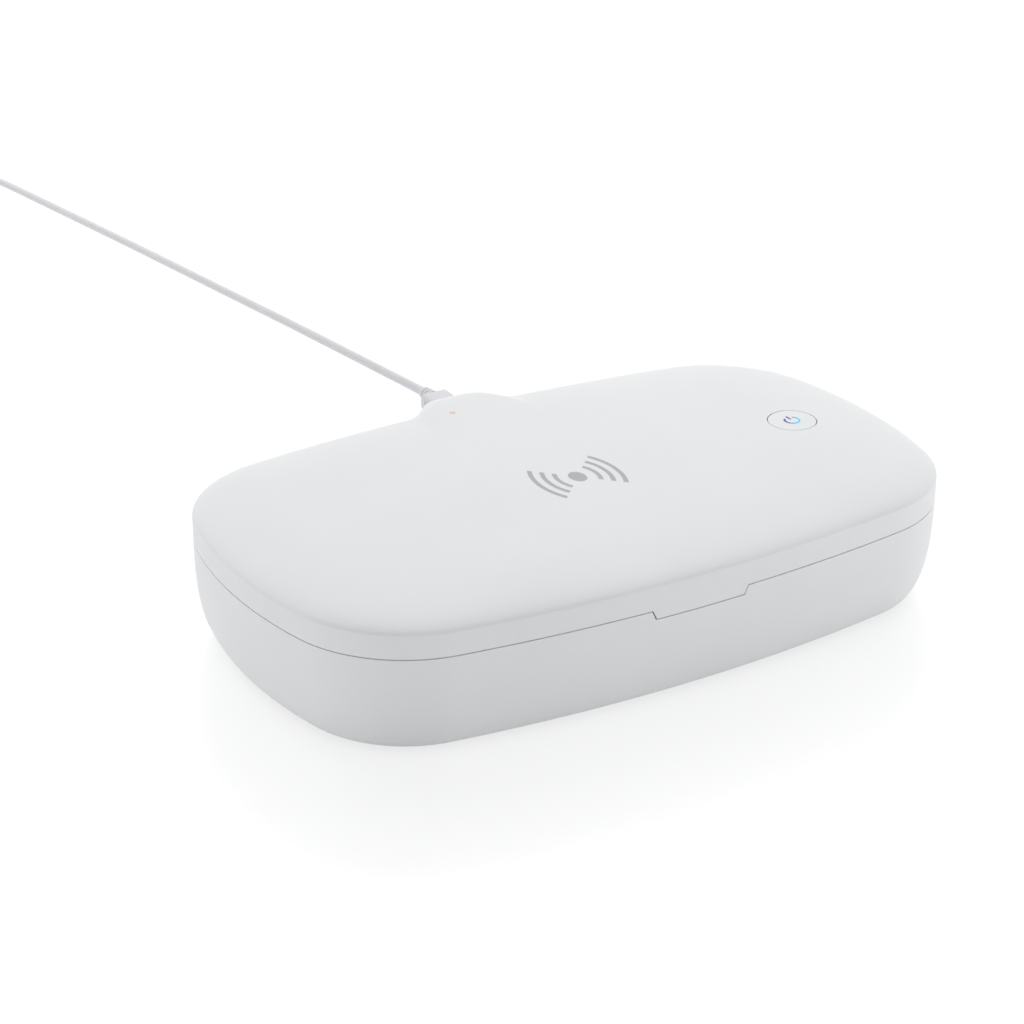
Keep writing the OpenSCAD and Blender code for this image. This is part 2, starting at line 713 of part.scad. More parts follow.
function bend(p0, p1, p2, p3, t) =
    0.5*(2*p1 + (p2 - p0)*t + (2*p0 - 5*p1 + 4*p2 - p3)*t*t + (3*p1 - p0 - 3*p2 + p3)*t*t*t);
function way(k, step) = let (n = len(k) - 1) concat(
    [for (i = [0:n - 1]) let (m = max(1, round(norm(k[i + 1] - k[i])/step)))
        for (j = [0:m - 1]) bend(k[max(i - 1, 0)], k[i], k[i + 1], k[min(i + 2, n)], j/m)],
    [k[n]]);
function unit(v) = v/norm(v);
function heading(p, i) = unit(p[min(i + 1, len(p) - 1)] - p[max(i - 1, 0)]);
function hoop(c, h, r, n) = let (s = unit(cross(h, [0, 0, 1])), u = cross(s, h))
    [for (i = [0:n - 1]) let (t = -90 - 360*i/n) c + r*(cos(t)*s + sin(t)*u)];
module tube(p, r, n, first, last) {
    loft([for (i = [0:len(p) - 1])
        hoop(p[i], i == 0 ? first : i == len(p) - 1 ? last : heading(p, i), r, n)]);
}

// the coil spirals in on the floor, climbs where it turns back, and spirals out on top
wind_half = turn_n/2;
function wind_at(t) = let (
        r = wind_r - wind_step*(wind_half - abs(t - wind_half)),
        c = min(1, max(0, (t - wind_half + 0.25)/0.5)),
        z = wind_z + wind_step*(0.5 - 0.5*cos(180*c)))
    [wind_c[0] + r*cos(360*t), wind_c[1] + r*sin(360*t), z];
wind_rings = 24;
wind_path = [for (i = [0:turn_n*wind_rings]) wind_at(i/wind_rings)];
wind_end = wind_path[len(wind_path) - 1];
wind_lead = concat([wind_path[0]], [[wind_path[0][0], wind_path[0][1] + cord_d, wind_z]],
    [for (i = [2:len(wind_path) - 3]) wind_path[i]],
    [[wind_end[0], wind_end[1] + cord_d, wind_end[2]]], [wind_end]);
// least gap from one turn to another
wind_gap = min([
    for (i = [0:2:len(wind_path) - 1]) for (j = [i + 12:1:len(wind_path) - 1])
        norm(wind_path[i] - wind_path[j])]) - cord_d;
echo(coil_least_gap = wind_gap);

module cord_stretch() {
    color([0.84, 0.84, 0.87]) centred() tube(way(knots, 7.5), cord_d/2, 8, [0, 1, 0], [0, 1, 0]);
}
module cord_coil() {
    color([0.84, 0.84, 0.87]) centred() tube(wind_lead, cord_d/2, 6, [0, 1, 0], [0, -1, 0]);
}
supply_y = wind_end[1] - 24;        // back of the supply plug
module cord_tail() {
    tail = [
        wind_end, wind_end - [0, 4, 0],
        [wind_end[0] - 0.5, wind_end[1] - 12, (wind_end[2] + supply_h/2)/2],
        [wind_end[0], supply_y + 4, supply_h/2], [wind_end[0], supply_y, supply_h/2]];
    color([0.84, 0.84, 0.87]) centred() tube(way(tail, 4), cord_d/2, 8, [0, -1, 0], [0, -1, 0]);
}
module coil_tie() {
    band_w = wind_step*wind_half + cord_d + 0.6;
    band_h = wind_step*(layer_n - 1) + cord_d + 0.4;
    mid = wind_r - wind_step*wind_half/2;
    color([0.78, 0.79, 0.81]) centred() translate([wind_c[0], wind_c[1], 0])
        rotate([0, 0, 90]) translate([mid, 3, tie_t + band_h/2])
        rotate([90, 0, 0]) linear_extrude(6) difference() {
            soft_rect(band_w + 2*tie_t, band_h + 2*tie_t, 1.4);
            soft_rect(band_w, band_h, 0.9);
        }
}
module usb_a_body() {
    color([0.86, 0.86, 0.88]) centred() translate([wind_end[0], 0, 0]) difference() {
        union() {
            along_y(supply_y - 6 - supply_l, supply_y - 6, supply_h/2) soft_rect(supply_w, supply_h, 2.2);
            translate([0, supply_y, supply_h/2]) rotate([90, 0, 0])
                cylinder(d1 = cord_d + 1.4, d2 = cord_d + 3, h = 6.2, $fn = 40);
        }
    }
}
module usb_a_shell() {
    y1 = supply_y - 6 - supply_l;
    color([0.78, 0.79, 0.80]) centred() translate([wind_end[0], 0, 0]) difference() {
        along_y(y1 - 12, y1, supply_h/2) square([12, 4.5], center = true);
        along_y(y1 - 13, y1 - 1, supply_h/2 + 1) square([11.4, 1.9], center = true);
    }
}

base_shell();
base_liner();
foot_fl();
foot_fr();
foot_bl();
foot_br();
base_screw_fl();
base_screw_fr();
base_screw_bl();
base_screw_br();
base_magnet_l();
base_magnet_r();
sensor_magnet();
rest_pad_l();
rest_pad_r();
hinge_pin();
lid_shell();
charge_mark();
lid_liner();
lid_screw_fl();
lid_screw_fr();
lid_screw_bl();
lid_screw_br();
uv_window_fl();
uv_window_fr();
uv_window_bl();
uv_window_br();
uv_lamp_fl();
uv_lamp_fr();
uv_lamp_bl();
uv_lamp_br();
main_board();
board_screw_fl();
board_screw_fr();
board_screw_bl();
board_screw_br();
controller_chip();
power_inductor();
charging_coil();
ferrite_sheet();
lid_magnet_l();
lid_magnet_r();
lid_sensor();
usb_receptacle();
indicator_led();
indicator_lens();
tact_switch();
switch_plunger();
power_button();
button_symbol();
plug_body();
plug_shell();
cord_stretch();
cord_coil();
cord_tail();
coil_tie();
usb_a_body();
usb_a_shell();
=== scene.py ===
"""Looks of a clamshell light-sanitising box for phones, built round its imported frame.

Every size is in millimetres, drawn about the middle of the box, with the back of the
box towards +Y. place() turns such a point into metres in the frame, whose origin lies
3.7 mm further back, under the middle of the box with its rear housing.
"""

import sys
import json
import logging
import math
from contextlib import contextmanager
from dataclasses import dataclass, field
from enum import Enum
from typing import Callable, Iterator, Sequence

import bmesh
import bpy
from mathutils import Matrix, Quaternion, Vector
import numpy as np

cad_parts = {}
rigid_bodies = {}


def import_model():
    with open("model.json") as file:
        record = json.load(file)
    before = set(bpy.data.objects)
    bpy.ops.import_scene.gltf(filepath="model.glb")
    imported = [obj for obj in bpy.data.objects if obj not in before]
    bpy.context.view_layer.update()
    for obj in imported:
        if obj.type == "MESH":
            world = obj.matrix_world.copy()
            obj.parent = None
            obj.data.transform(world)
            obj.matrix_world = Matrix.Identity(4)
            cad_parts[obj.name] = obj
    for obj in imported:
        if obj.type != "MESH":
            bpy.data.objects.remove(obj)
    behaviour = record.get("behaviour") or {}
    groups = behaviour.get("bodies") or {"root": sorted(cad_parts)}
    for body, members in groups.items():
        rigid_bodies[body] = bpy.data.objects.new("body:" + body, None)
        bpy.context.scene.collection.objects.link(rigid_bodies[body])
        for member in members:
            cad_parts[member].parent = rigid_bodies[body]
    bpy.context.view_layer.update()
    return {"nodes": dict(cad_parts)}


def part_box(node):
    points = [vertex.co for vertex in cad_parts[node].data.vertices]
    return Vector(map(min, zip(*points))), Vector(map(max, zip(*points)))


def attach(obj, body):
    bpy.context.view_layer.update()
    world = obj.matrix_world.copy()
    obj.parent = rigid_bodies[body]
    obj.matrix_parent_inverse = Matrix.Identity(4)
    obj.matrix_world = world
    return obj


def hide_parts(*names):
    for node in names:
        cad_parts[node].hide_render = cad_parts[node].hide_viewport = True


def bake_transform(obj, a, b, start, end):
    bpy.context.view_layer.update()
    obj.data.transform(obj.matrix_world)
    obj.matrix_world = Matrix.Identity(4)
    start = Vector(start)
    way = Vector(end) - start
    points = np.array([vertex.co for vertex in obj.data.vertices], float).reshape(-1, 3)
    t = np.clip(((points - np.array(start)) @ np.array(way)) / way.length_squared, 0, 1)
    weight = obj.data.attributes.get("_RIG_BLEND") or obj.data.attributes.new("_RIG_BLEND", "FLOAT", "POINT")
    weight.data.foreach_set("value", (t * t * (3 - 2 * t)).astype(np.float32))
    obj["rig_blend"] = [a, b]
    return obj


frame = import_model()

MM = 0.001
MIDDLE_Y = -3.7
WAVE = 0.314  # how far apart the rings of a wave texture of scale 1 lie
CORNERS = ("fl", "fr", "bl", "br")
UP = Vector((0, 0, 1))
BACKWARDS = Vector((0, 1, 0))
SIDEWAYS = Vector((1, 0, 0))
log = logging.getLogger("phone_box")
Test = Callable[[Vector, Vector], bool]
Triple = tuple[float, float, float]
Piece = bpy.types.Object
Tree = bpy.types.NodeTree
Socket = bpy.types.NodeSocket


class Element(Enum):
    """What a selection picks."""

    POINTS = "VERT"
    EDGES = "EDGE"
    FACES = "FACE"


class Primitive(Enum):
    """The shape that a piece starts from."""

    PLANE = "primitive_plane_add"
    CUBE = "primitive_cube_add"
    CYLINDER = "primitive_cylinder_add"


class Body(Enum):
    """The moving bodies of the box."""

    BASE = "base"
    LID = "lid"
    BUTTON = "button"


def place(x: float, y: float, z: float) -> Vector:
    """Turns a drawn point, in millimetres, into metres in the frame."""
    return Vector((x, y + MIDDLE_Y, z)) * MM


def drawn(point: Vector) -> Vector:
    """Turns a point of the frame, in metres, back into drawn millimetres."""
    return point / MM - Vector((0, MIDDLE_Y, 0))


def middle_of(node: str) -> Vector:
    """Finds the middle of a CAD node, in metres."""
    low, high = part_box(node)
    return (low + high) / 2


def linear(colour: str) -> tuple[float, float, float, float]:
    """Turns an sRGB hex colour into the linear colour that a shader takes.

    Args:
        colour: Six hex digits after a hash.

    Returns:
        Red, green, blue and an alpha of one.
    """
    parts = [int(colour[i : i + 2], 16) / 255 for i in (1, 3, 5)]
    red, green, blue = (c / 12.92 if c <= 0.04045 else ((c + 0.055) / 1.055) ** 2.4 for c in parts)
    return (red, green, blue, 1.0)


def add_node(tree: Tree, kind: str, inputs: dict | None = None, **settings) -> bpy.types.Node:
    """Adds a node with its settings and links.

    Args:
        tree: The tree that takes the node.
        kind: Blender's name of the node.
        inputs: Sockets by name or number, each with a value or a socket to link.
        settings: Properties of the node itself.

    Returns:
        The new node.
    """
    node = tree.nodes.new(kind)
    for key, value in settings.items():
        setattr(node, key, value)
    for key, value in (inputs or {}).items():
        if isinstance(value, Socket):
            tree.links.new(value, node.inputs[key])
        else:
            node.inputs[key].default_value = value
    return node


@dataclass(frozen=True)
class Finish:
    """A moulded surface with a fine grain and a slow drift of shade and gloss."""

    title: str
    colour: str
    second: str
    roughness: float
    metallic: float = 0.0
    ior: float = 1.5
    grain_mm: float = 0.5
    grain_depth_mm: float = 0.01
    cloud_mm: float = 20.0
    drift: float = 0.04
    spread: float = 0.35
    shader: dict = field(default_factory=dict, hash=False)

    def relief(self, tree: Tree, mm: Socket) -> Socket:
        """Draws the grain as a height from 0 to 1, on coordinates in millimetres."""
        grain = {"Vector": mm, "Scale": 1 / self.grain_mm, "Detail": 4.0}
        return add_node(tree, "ShaderNodeTexNoise", grain).outputs["Fac"]

    def tint(self, tree: Tree, mm: Socket) -> Socket:
        """Draws the share of the second colour, from 0 to 1, in slow clouds."""
        cloud = {"Vector": mm, "Scale": 1 / self.cloud_mm, "Detail": 3.0}
        return add_node(tree, "ShaderNodeTexNoise", cloud).outputs["Fac"]

    def make(self) -> bpy.types.Material:
        """Builds the material, or finds it if it is built.

        Returns:
            The material, named for what it is made of and how.
        """
        found = bpy.data.materials.get(self.title)
        if found:
            return found
        material = bpy.data.materials.new(self.title)
        material.use_nodes = True
        tree = material.node_tree
        surface = tree.nodes["Principled BSDF"]
        where = add_node(tree, "ShaderNodeTexCoord").outputs["Object"]
        scaled = {"Vector": where, "Scale": 1 / MM}
        mm = add_node(tree, "ShaderNodeVectorMath", scaled, operation="SCALE").outputs[0]
        share = self.tint(tree, mm)
        shade = add_node(
            tree,
            "ShaderNodeMapRange",
            {"Value": share, "From Min": 0.5 - self.spread, "From Max": 0.5 + self.spread},
        ).outputs[0]
        colour = add_node(
            tree,
            "ShaderNodeMix",
            {0: shade, 6: linear(self.colour), 7: linear(self.second)},
            data_type="RGBA",
        ).outputs[2]
        gloss = add_node(
            tree,
            "ShaderNodeMapRange",
            {
                "Value": share,
                "From Min": 0.25,
                "From Max": 0.75,
                "To Min": self.roughness - self.drift,
                "To Max": self.roughness + self.drift,
            },
        ).outputs[0]
        bump = add_node(
            tree,
            "ShaderNodeBump",
            {"Height": self.relief(tree, mm), "Distance": self.grain_depth_mm * MM, "Strength": 1.0},
        ).outputs[0]
        tree.links.new(colour, surface.inputs["Base Color"])
        tree.links.new(gloss, surface.inputs["Roughness"])
        tree.links.new(bump, surface.inputs["Normal"])
        surface.inputs["Metallic"].default_value = self.metallic
        surface.inputs["IOR"].default_value = self.ior
        for name, value in self.shader.items():
            surface.inputs[name].default_value = value
        return material


@dataclass(frozen=True)
class Brushed(Finish):
    """Metal with fine lines along X."""

    line_mm: float = 0.4

    def relief(self, tree: Tree, mm: Socket) -> Socket:
        """Draws long thin scratches, from 0 to 1, on coordinates in millimetres."""
        pulled = add_node(tree, "ShaderNodeMapping", {"Vector": mm, "Scale": (0.02, 1.0, 1.0)}).outputs[0]
        lines = {"Vector": pulled, "Scale": 1 / self.line_mm, "Detail": 5.0}
        return add_node(tree, "ShaderNodeTexNoise", lines).outputs["Fac"]


@dataclass(frozen=True)
class Ringed(Finish):
    """A wound or turned surface, with rings about an upright axis."""

    centre_mm: Triple = (0.0, 0.0, 0.0)
    pitch_mm: float = 0.8

    def relief(self, tree: Tree, mm: Socket) -> Socket:
        """Draws round wires or tool marks, side by side.

        Args:
            tree: The material's nodes.
            mm: Object coordinates in millimetres.

        Returns:
            The height, from 0 to 1.
        """
        moved = {"Vector": mm, "Location": tuple(-c for c in self.centre_mm)}
        about = add_node(tree, "ShaderNodeMapping", moved).outputs[0]
        flat = add_node(
            tree, "ShaderNodeVectorMath", {0: about, 1: (1.0, 1.0, 0.0)}, operation="MULTIPLY"
        ).outputs[0]
        return add_node(
            tree,
            "ShaderNodeTexWave",
            {"Vector": flat, "Scale": WAVE / self.pitch_mm, "Distortion": 0.0},
            wave_type="RINGS",
            rings_direction="SPHERICAL",
        ).outputs["Fac"]


@dataclass(frozen=True)
class Jacket(Finish):
    """An extruded jacket, whose die leaves lines along it."""

    def relief(self, tree: Tree, mm: Socket) -> Socket:
        """Draws the die's lines, which run mostly along Y, on coordinates in millimetres."""
        pulled = add_node(tree, "ShaderNodeMapping", {"Vector": mm, "Scale": (1.0, 0.06, 1.0)}).outputs[0]
        lines = {"Vector": pulled, "Scale": 1 / self.grain_mm, "Detail": 3.0}
        return add_node(tree, "ShaderNodeTexNoise", lines).outputs["Fac"]


@dataclass(frozen=True)
class Tracked(Finish):
    """A circuit board: copper tracks stand a little under the lacquer."""

    def tint(self, tree: Tree, mm: Socket) -> Socket:
        """Draws tracks on a square grid.

        Args:
            tree: The material's nodes.
            mm: Object coordinates in millimetres.

        Returns:
            The share of the lighter colour, from 0 to 1.
        """
        return add_node(
            tree,
            "ShaderNodeTexBrick",
            {
                "Vector": mm,
                "Scale": 1 / self.cloud_mm,
                "Mortar Size": 0.05,
                "Color1": (0, 0, 0, 1),
                "Color2": (0, 0, 0, 1),
                "Mortar": (1, 1, 1, 1),
            },
        ).outputs["Color"]


@dataclass(frozen=True)
class Lit(Finish):
    """A translucent piece, lit from behind, whose colour turns across it."""

    centre_mm: Triple = (0.0, 0.0, 0.0)
    half_mm: float = 3.0
    glow: float = 0.25

    def tint(self, tree: Tree, mm: Socket) -> Socket:
        """Draws the change of colour, from the back left to the front right.

        Args:
            tree: The material's nodes.
            mm: Object coordinates in millimetres.

        Returns:
            The share of the second colour, from 0 to 1.
        """
        moved = {"Vector": mm, "Location": tuple(-c for c in self.centre_mm)}
        about = add_node(tree, "ShaderNodeMapping", moved).outputs[0]
        run = add_node(
            tree, "ShaderNodeVectorMath", {0: about, 1: (0.75, -0.45, 0.0)}, operation="DOT_PRODUCT"
        ).outputs["Value"]
        return add_node(
            tree,
            "ShaderNodeMapRange",
            {"Value": run, "From Min": -self.half_mm * 0.6, "From Max": self.half_mm * 0.9},
        ).outputs[0]

    def make(self) -> bpy.types.Material:
        """Builds the material and lets its colour glow.

        Returns:
            The material.
        """
        material = super().make()
        surface = material.node_tree.nodes["Principled BSDF"]
        colour = surface.inputs["Base Color"].links[0].from_socket
        material.node_tree.links.new(colour, surface.inputs["Emission Color"])
        surface.inputs["Emission Strength"].default_value = self.glow
        return material


# Grain finer than about 0.2 mm is drawn at 0.2 to 0.4 mm, coarser than the real one, so that it shows.

# white ABS from a spark-eroded mould: a satin white whose fine grain spreads every highlight
SHELL = Finish(
    "ABS moulded satin", "#E9EBEC", "#E6E8E9", 0.46,
    ior=1.53, grain_mm=0.35, grain_depth_mm=0.004, cloud_mm=34.0,
)
# the same ABS from a finer mould: a touch smoother and whiter than the shell round it
CAP = Finish(
    "ABS moulded fine satin", "#EBEDEE", "#E8EAEB", 0.38,
    ior=1.53, grain_mm=0.3, grain_depth_mm=0.003, cloud_mm=9.0,
)
# ABS with a vacuum-deposited film: it throws the light back onto the phone, a little wavy like its plastic
TRAY = Finish(
    "aluminium film on ABS", "#CDD1D6", "#C2C7CD", 0.26,
    metallic=1.0, grain_mm=8.0, grain_depth_mm=0.02, cloud_mm=26.0, drift=0.06,
)
# sheet aluminium, brushed along its length: soft streaks, no clear mirror
PANEL = Brushed(
    "aluminium brushed", "#D3D6DA", "#C8CCD1", 0.36,
    metallic=1.0, grain_depth_mm=0.004, cloud_mm=18.0, drift=0.05,
)
# silicone rubber, moulded matte: grey, dry and slightly dusty
FOOT = Finish(
    "silicone rubber moulded matte", "#8C8E92", "#97999D", 0.72,
    ior=1.41, grain_mm=0.25, grain_depth_mm=0.015, cloud_mm=3.0,
)
# clear silicone bumper: a milky drop
PAD = Finish(
    "silicone clear soft", "#DDE2E4", "#D2D8DB", 0.3,
    ior=1.41, grain_mm=0.6, grain_depth_mm=0.004, cloud_mm=2.0, shader={"Transmission Weight": 0.45},
)
# pad-printed ink: flat mid grey with a faint mottle where the pad met the grain
INK = Finish(
    "ink pad printed", "#B6B7B9", "#AFB0B2", 0.5,
    ior=1.45, grain_mm=0.3, grain_depth_mm=0.003, cloud_mm=1.2, spread=0.2,
)
# zinc-plated steel, turned: cool grey with tool rings
ZINC = Ringed(
    "steel zinc plated", "#B9BBBF", "#A9ACB1", 0.32,
    metallic=1.0, pitch_mm=0.25, grain_depth_mm=0.003, cloud_mm=2.0,
)
# nickel-plated magnet: bright, almost a mirror
NICKEL = Finish(
    "neodymium nickel plated", "#C4C2BC", "#B9B7B2", 0.16,
    metallic=1.0, grain_mm=0.4, grain_depth_mm=0.002, cloud_mm=3.0,
)
# stamped stainless steel: grey, with the rolling grain of the strip
STAMPED = Brushed(
    "stainless steel stamped", "#C6C8CB", "#B8BABE", 0.28,
    metallic=1.0, grain_depth_mm=0.003, cloud_mm=4.0, line_mm=0.15,
)
# fused quartz: clear to ultraviolet, with a cold cast at its edge
QUARTZ = Finish(
    "quartz polished", "#E4ECFA", "#D6E0F5", 0.06,
    ior=1.46, grain_mm=2.0, grain_depth_mm=0.001, cloud_mm=6.0, drift=0.02,
    shader={"Transmission Weight": 0.85},
)
# alumina package of a light source: chalky, faintly yellow
CERAMIC = Finish(
    "alumina fired", "#E9E0BE", "#DED3AC", 0.55,
    ior=1.76, grain_mm=0.2, grain_depth_mm=0.006, cloud_mm=1.0,
)
# gold plate over copper, round the die: a warm bright edge
GOLD = Finish(
    "copper gold plated", "#E2B95A", "#D3A645", 0.22,
    metallic=1.0, grain_mm=0.2, grain_depth_mm=0.003, cloud_mm=0.8,
)
# glass-fibre board under solder mask: dark green, tracks a shade lighter
BOARD = Tracked(
    "glass epoxy lacquered", "#1F5E3C", "#2F7A4E", 0.34,
    ior=1.5, grain_mm=0.6, grain_depth_mm=0.01, cloud_mm=4.0,
)
# moulded epoxy of chips and switches: matte black
EPOXY = Finish(
    "epoxy moulded black", "#232325", "#2C2C2F", 0.6,
    ior=1.55, grain_mm=0.15, grain_depth_mm=0.006, cloud_mm=2.0,
)
# enamelled litz wire, wound flat: copper rings beside each other
WIRE = Ringed(
    "copper wire enamelled", "#B8733F", "#A86534", 0.3,
    metallic=1.0, centre_mm=(0.0, -3.7, 0.0), pitch_mm=0.9, grain_depth_mm=0.3, cloud_mm=5.0,
)
# sintered ferrite: dark, dry and slightly rough
FERRITE = Finish(
    "ferrite sintered", "#353537", "#3E3E41", 0.66,
    ior=1.9, grain_mm=0.3, grain_depth_mm=0.012, cloud_mm=4.0,
)
# epoxy body of a small indicator light: cream and slightly glossy
LED = Finish(
    "epoxy cast cream", "#F1E6C2", "#E8DAB0", 0.35,
    ior=1.55, grain_mm=0.2, grain_depth_mm=0.003, cloud_mm=0.8,
)
# acrylic light pipe, polished, with the amber light behind it: a pale warm dot
AMBER = Lit(
    "acrylic lit amber", "#F0C09C", "#F2D0B4", 0.25,
    ior=1.49, grain_mm=0.3, grain_depth_mm=0.002, centre_mm=(-7.5, 51.8, 0.0), half_mm=1.0, glow=0.1,
)
# translucent polycarbonate, moulded, lit from behind: violet that turns to cyan
SYMBOL = Lit(
    "polycarbonate lit", "#4A3F98", "#4FC3EE", 0.4,
    ior=1.58, grain_mm=0.3, grain_depth_mm=0.002, centre_mm=(77.8, -3.7, 0.0),
)
# natural nylon of the switch's plunger, moulded: an ivory, waxy white
NYLON = Finish(
    "nylon moulded natural", "#DCDBD4", "#D4D2C9", 0.45,
    ior=1.53, grain_mm=0.3, grain_depth_mm=0.005, cloud_mm=1.5,
)
# soft PVC jacket: satin, a cool white with faint lines from the die
JACKET = Jacket(
    "PVC extruded satin", "#D4D4D7", "#D8D8DC", 0.36,
    ior=1.52, grain_mm=0.4, grain_depth_mm=0.006, cloud_mm=22.0,
)
# soft overmould of the plugs: the same white, a little more matte
OVERMOULD = Finish(
    "PVC moulded soft", "#E0E0E3", "#DBDBDF", 0.44,
    ior=1.52, grain_mm=0.3, grain_depth_mm=0.006, cloud_mm=7.0,
)
# silicone strap: pale grey, grippy
STRAP = Finish(
    "silicone strap moulded", "#C7C9CE", "#BFC1C7", 0.58,
    ior=1.41, grain_mm=0.3, grain_depth_mm=0.012, cloud_mm=4.0,
)


def deselect() -> None:
    """Leaves nothing selected and no mode open."""
    if bpy.context.object and bpy.context.object.mode != "OBJECT":
        bpy.ops.object.mode_set(mode="OBJECT")
    bpy.ops.object.select_all(action="DESELECT")


def choose(piece: Piece) -> None:
    """Selects one piece alone and makes it active.

    Args:
        piece: The piece to work on.
    """
    deselect()
    piece.select_set(True)
    bpy.context.view_layer.objects.active = piece


def begin(name: str, primitive: Primitive, **settings) -> Piece:
    """Adds a primitive at its size and place, with its place in its mesh.

    Args:
        name: The piece's name.
        primitive: The shape to start from.
        settings: What Blender's operator takes.

    Returns:
        The new piece.
    """
    deselect()
    getattr(bpy.ops.mesh, primitive.value)(**settings)
    piece = bpy.context.object
    piece.name = piece.data.name = name
    bpy.ops.object.transform_apply(location=True, rotation=True, scale=True)
    return piece


@contextmanager
def editing(piece: Piece) -> Iterator[None]:
    """Opens a piece in edit mode.

    Args:
        piece: The piece to open.

    Yields:
        Nothing.
    """
    choose(piece)
    bpy.ops.object.mode_set(mode="EDIT")
    yield
    bpy.ops.object.mode_set(mode="OBJECT")


def pick(kind: Element, test: Test) -> int:
    """Selects the open piece's elements that pass a test.

    Args:
        kind: Points, edges or faces.
        test: Takes the element's middle in drawn millimetres, and its normal or, for an edge, its way.

    Returns:
        How many were picked.
    """
    bpy.ops.mesh.select_mode(type=kind.value)
    bpy.ops.mesh.select_all(action="DESELECT")
    piece = bpy.context.edit_object
    mesh = bmesh.from_edit_mesh(piece.data)
    if kind is Element.FACES:
        items = [(f, f.calc_center_median(), f.normal) for f in mesh.faces]
    elif kind is Element.EDGES:
        items = []
        for edge in mesh.edges:
            one, two = (point.co for point in edge.verts)
            items.append((edge, (one + two) / 2, (two - one).normalized()))
    else:
        items = [(v, v.co, v.normal) for v in mesh.verts]
    found = [item for item, middle, way in items if test(drawn(middle), way)]
    for item in found:
        item.select_set(True)
    mesh.select_flush_mode()
    bmesh.update_edit_mesh(piece.data)
    if not found:
        raise ValueError(f"{piece.name}: nothing picked")
    return len(found)


def modify(piece: Piece, kind: str, **settings) -> None:
    """Adds a modifier and applies it.

    Args:
        piece: The piece to change.
        kind: Blender's name of the modifier.
        settings: The modifier's properties.
    """
    choose(piece)
    change = piece.modifiers.new(kind.lower(), kind)
    for key, value in settings.items():
        setattr(change, key, value)
    bpy.ops.object.modifier_apply(modifier=change.name)


def cut(piece: Piece, tool: Piece, operation: str = "DIFFERENCE") -> None:
    """Cuts a piece with a tool, or joins them, and clears the tool away."""
    modify(piece, "BOOLEAN", object=tool, operation=operation, solver="EXACT")
    bpy.data.objects.remove(tool, do_unlink=True)


def block(name: str, middle: Vector, size: Vector) -> Piece:
    """Adds a block with its middle and size in metres."""
    return begin(name, Primitive.CUBE, size=1, location=middle, scale=size)


def disc(name: str, middle: Vector, radius: float, depth: float, sides: int) -> Piece:
    """Adds an upright round bar: its radius is in millimetres, the rest in metres."""
    return begin(name, Primitive.CYLINDER, vertices=sides, radius=radius * MM, depth=depth, location=middle)


def drill(piece: Piece, x: float, y: float, z: float, radius: float, depth: float, sides: int) -> None:
    """Cuts an upright round hole about a drawn point, all in millimetres."""
    cut(piece, disc("tool", place(x, y, z), radius, depth * MM, sides))


def pull(x: float = 0.0, y: float = 0.0, z: float = 0.0) -> None:
    """Extrudes what is picked and moves it, in metres."""
    bpy.ops.mesh.extrude_region_move(TRANSFORM_OT_translate={"value": (x, y, z)})


def soften(piece: Piece, width: float, segments: int = 2, angle: float = 40.0) -> None:
    """Rounds the sharp edges of a piece.

    Args:
        piece: The piece to change.
        width: The rounding, in millimetres.
        segments: Steps of the rounding.
        angle: Edges sharper than this are rounded, in degrees.
    """
    modify(
        piece,
        "BEVEL",
        width=width * MM,
        segments=segments,
        limit_method="ANGLE",
        angle_limit=math.radians(angle),
        use_clamp_overlap=True,
        harden_normals=False,
    )


def copy_of(piece: Piece, name: str, shift: Vector) -> Piece:
    """Copies a piece, with its own mesh, to another place.

    Args:
        piece: The piece to copy.
        name: The copy's name.
        shift: How far it moves, in metres.

    Returns:
        The copy.
    """
    choose(piece)
    bpy.ops.object.duplicate(linked=False)
    twin = bpy.context.object
    twin.name = twin.data.name = name
    bpy.ops.transform.translate(value=shift)
    bpy.ops.object.transform_apply(location=True, rotation=True, scale=True)
    return twin


def settle(
    piece: Piece,
    finish: Finish,
    body: Body,
    replaces: Sequence[str] = (),
    smooth: float = 32.0,
) -> Piece:
    """Dresses a finished piece and ties it to its body.

    Args:
        piece: The finished piece.
        finish: Its finish.
        body: The body that it rides on.
        replaces: Solids that it stands for.
        smooth: Edges flatter than this are shaded smooth, in degrees.

    Returns:
        The piece.
    """
    choose(piece)
    bpy.ops.object.shade_smooth_by_angle(angle=math.radians(smooth))
    modify(piece, "WEIGHTED_NORMAL", keep_sharp=True)
    if not piece.data.materials:
        piece.data.materials.append(finish.make())
    piece.vertex_groups.clear()
    if replaces:
        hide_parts(*replaces)
    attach(piece, body.value)
    log.info("%s: %d faces, %s, on %s", piece.name, len(piece.data.polygons), finish.title, body.value)
    return piece


def repeat(
    first: Piece,
    name: str,
    node: str,
    finish: Finish,
    body: Body,
    ends: Sequence[str] = CORNERS,
) -> None:
    """Copies a piece to where the other nodes of its kind are, and settles them all.

    Args:
        first: The piece, which stands for the first node.
        name: What the pieces' names begin with.
        node: What the nodes' names begin with.
        finish: Their finish.
        body: The body that they ride on.
        ends: What the names end with, the first piece's end first.
    """
    middle = middle_of(f"{node}_{ends[0]}")
    for end in ends[1:]:
        twin = copy_of(first, f"{name}_{end}", middle_of(f"{node}_{end}") - middle)
        settle(twin, finish, body, [f"{node}_{end}"])
    settle(first, finish, body, [f"{node}_{ends[0]}"])


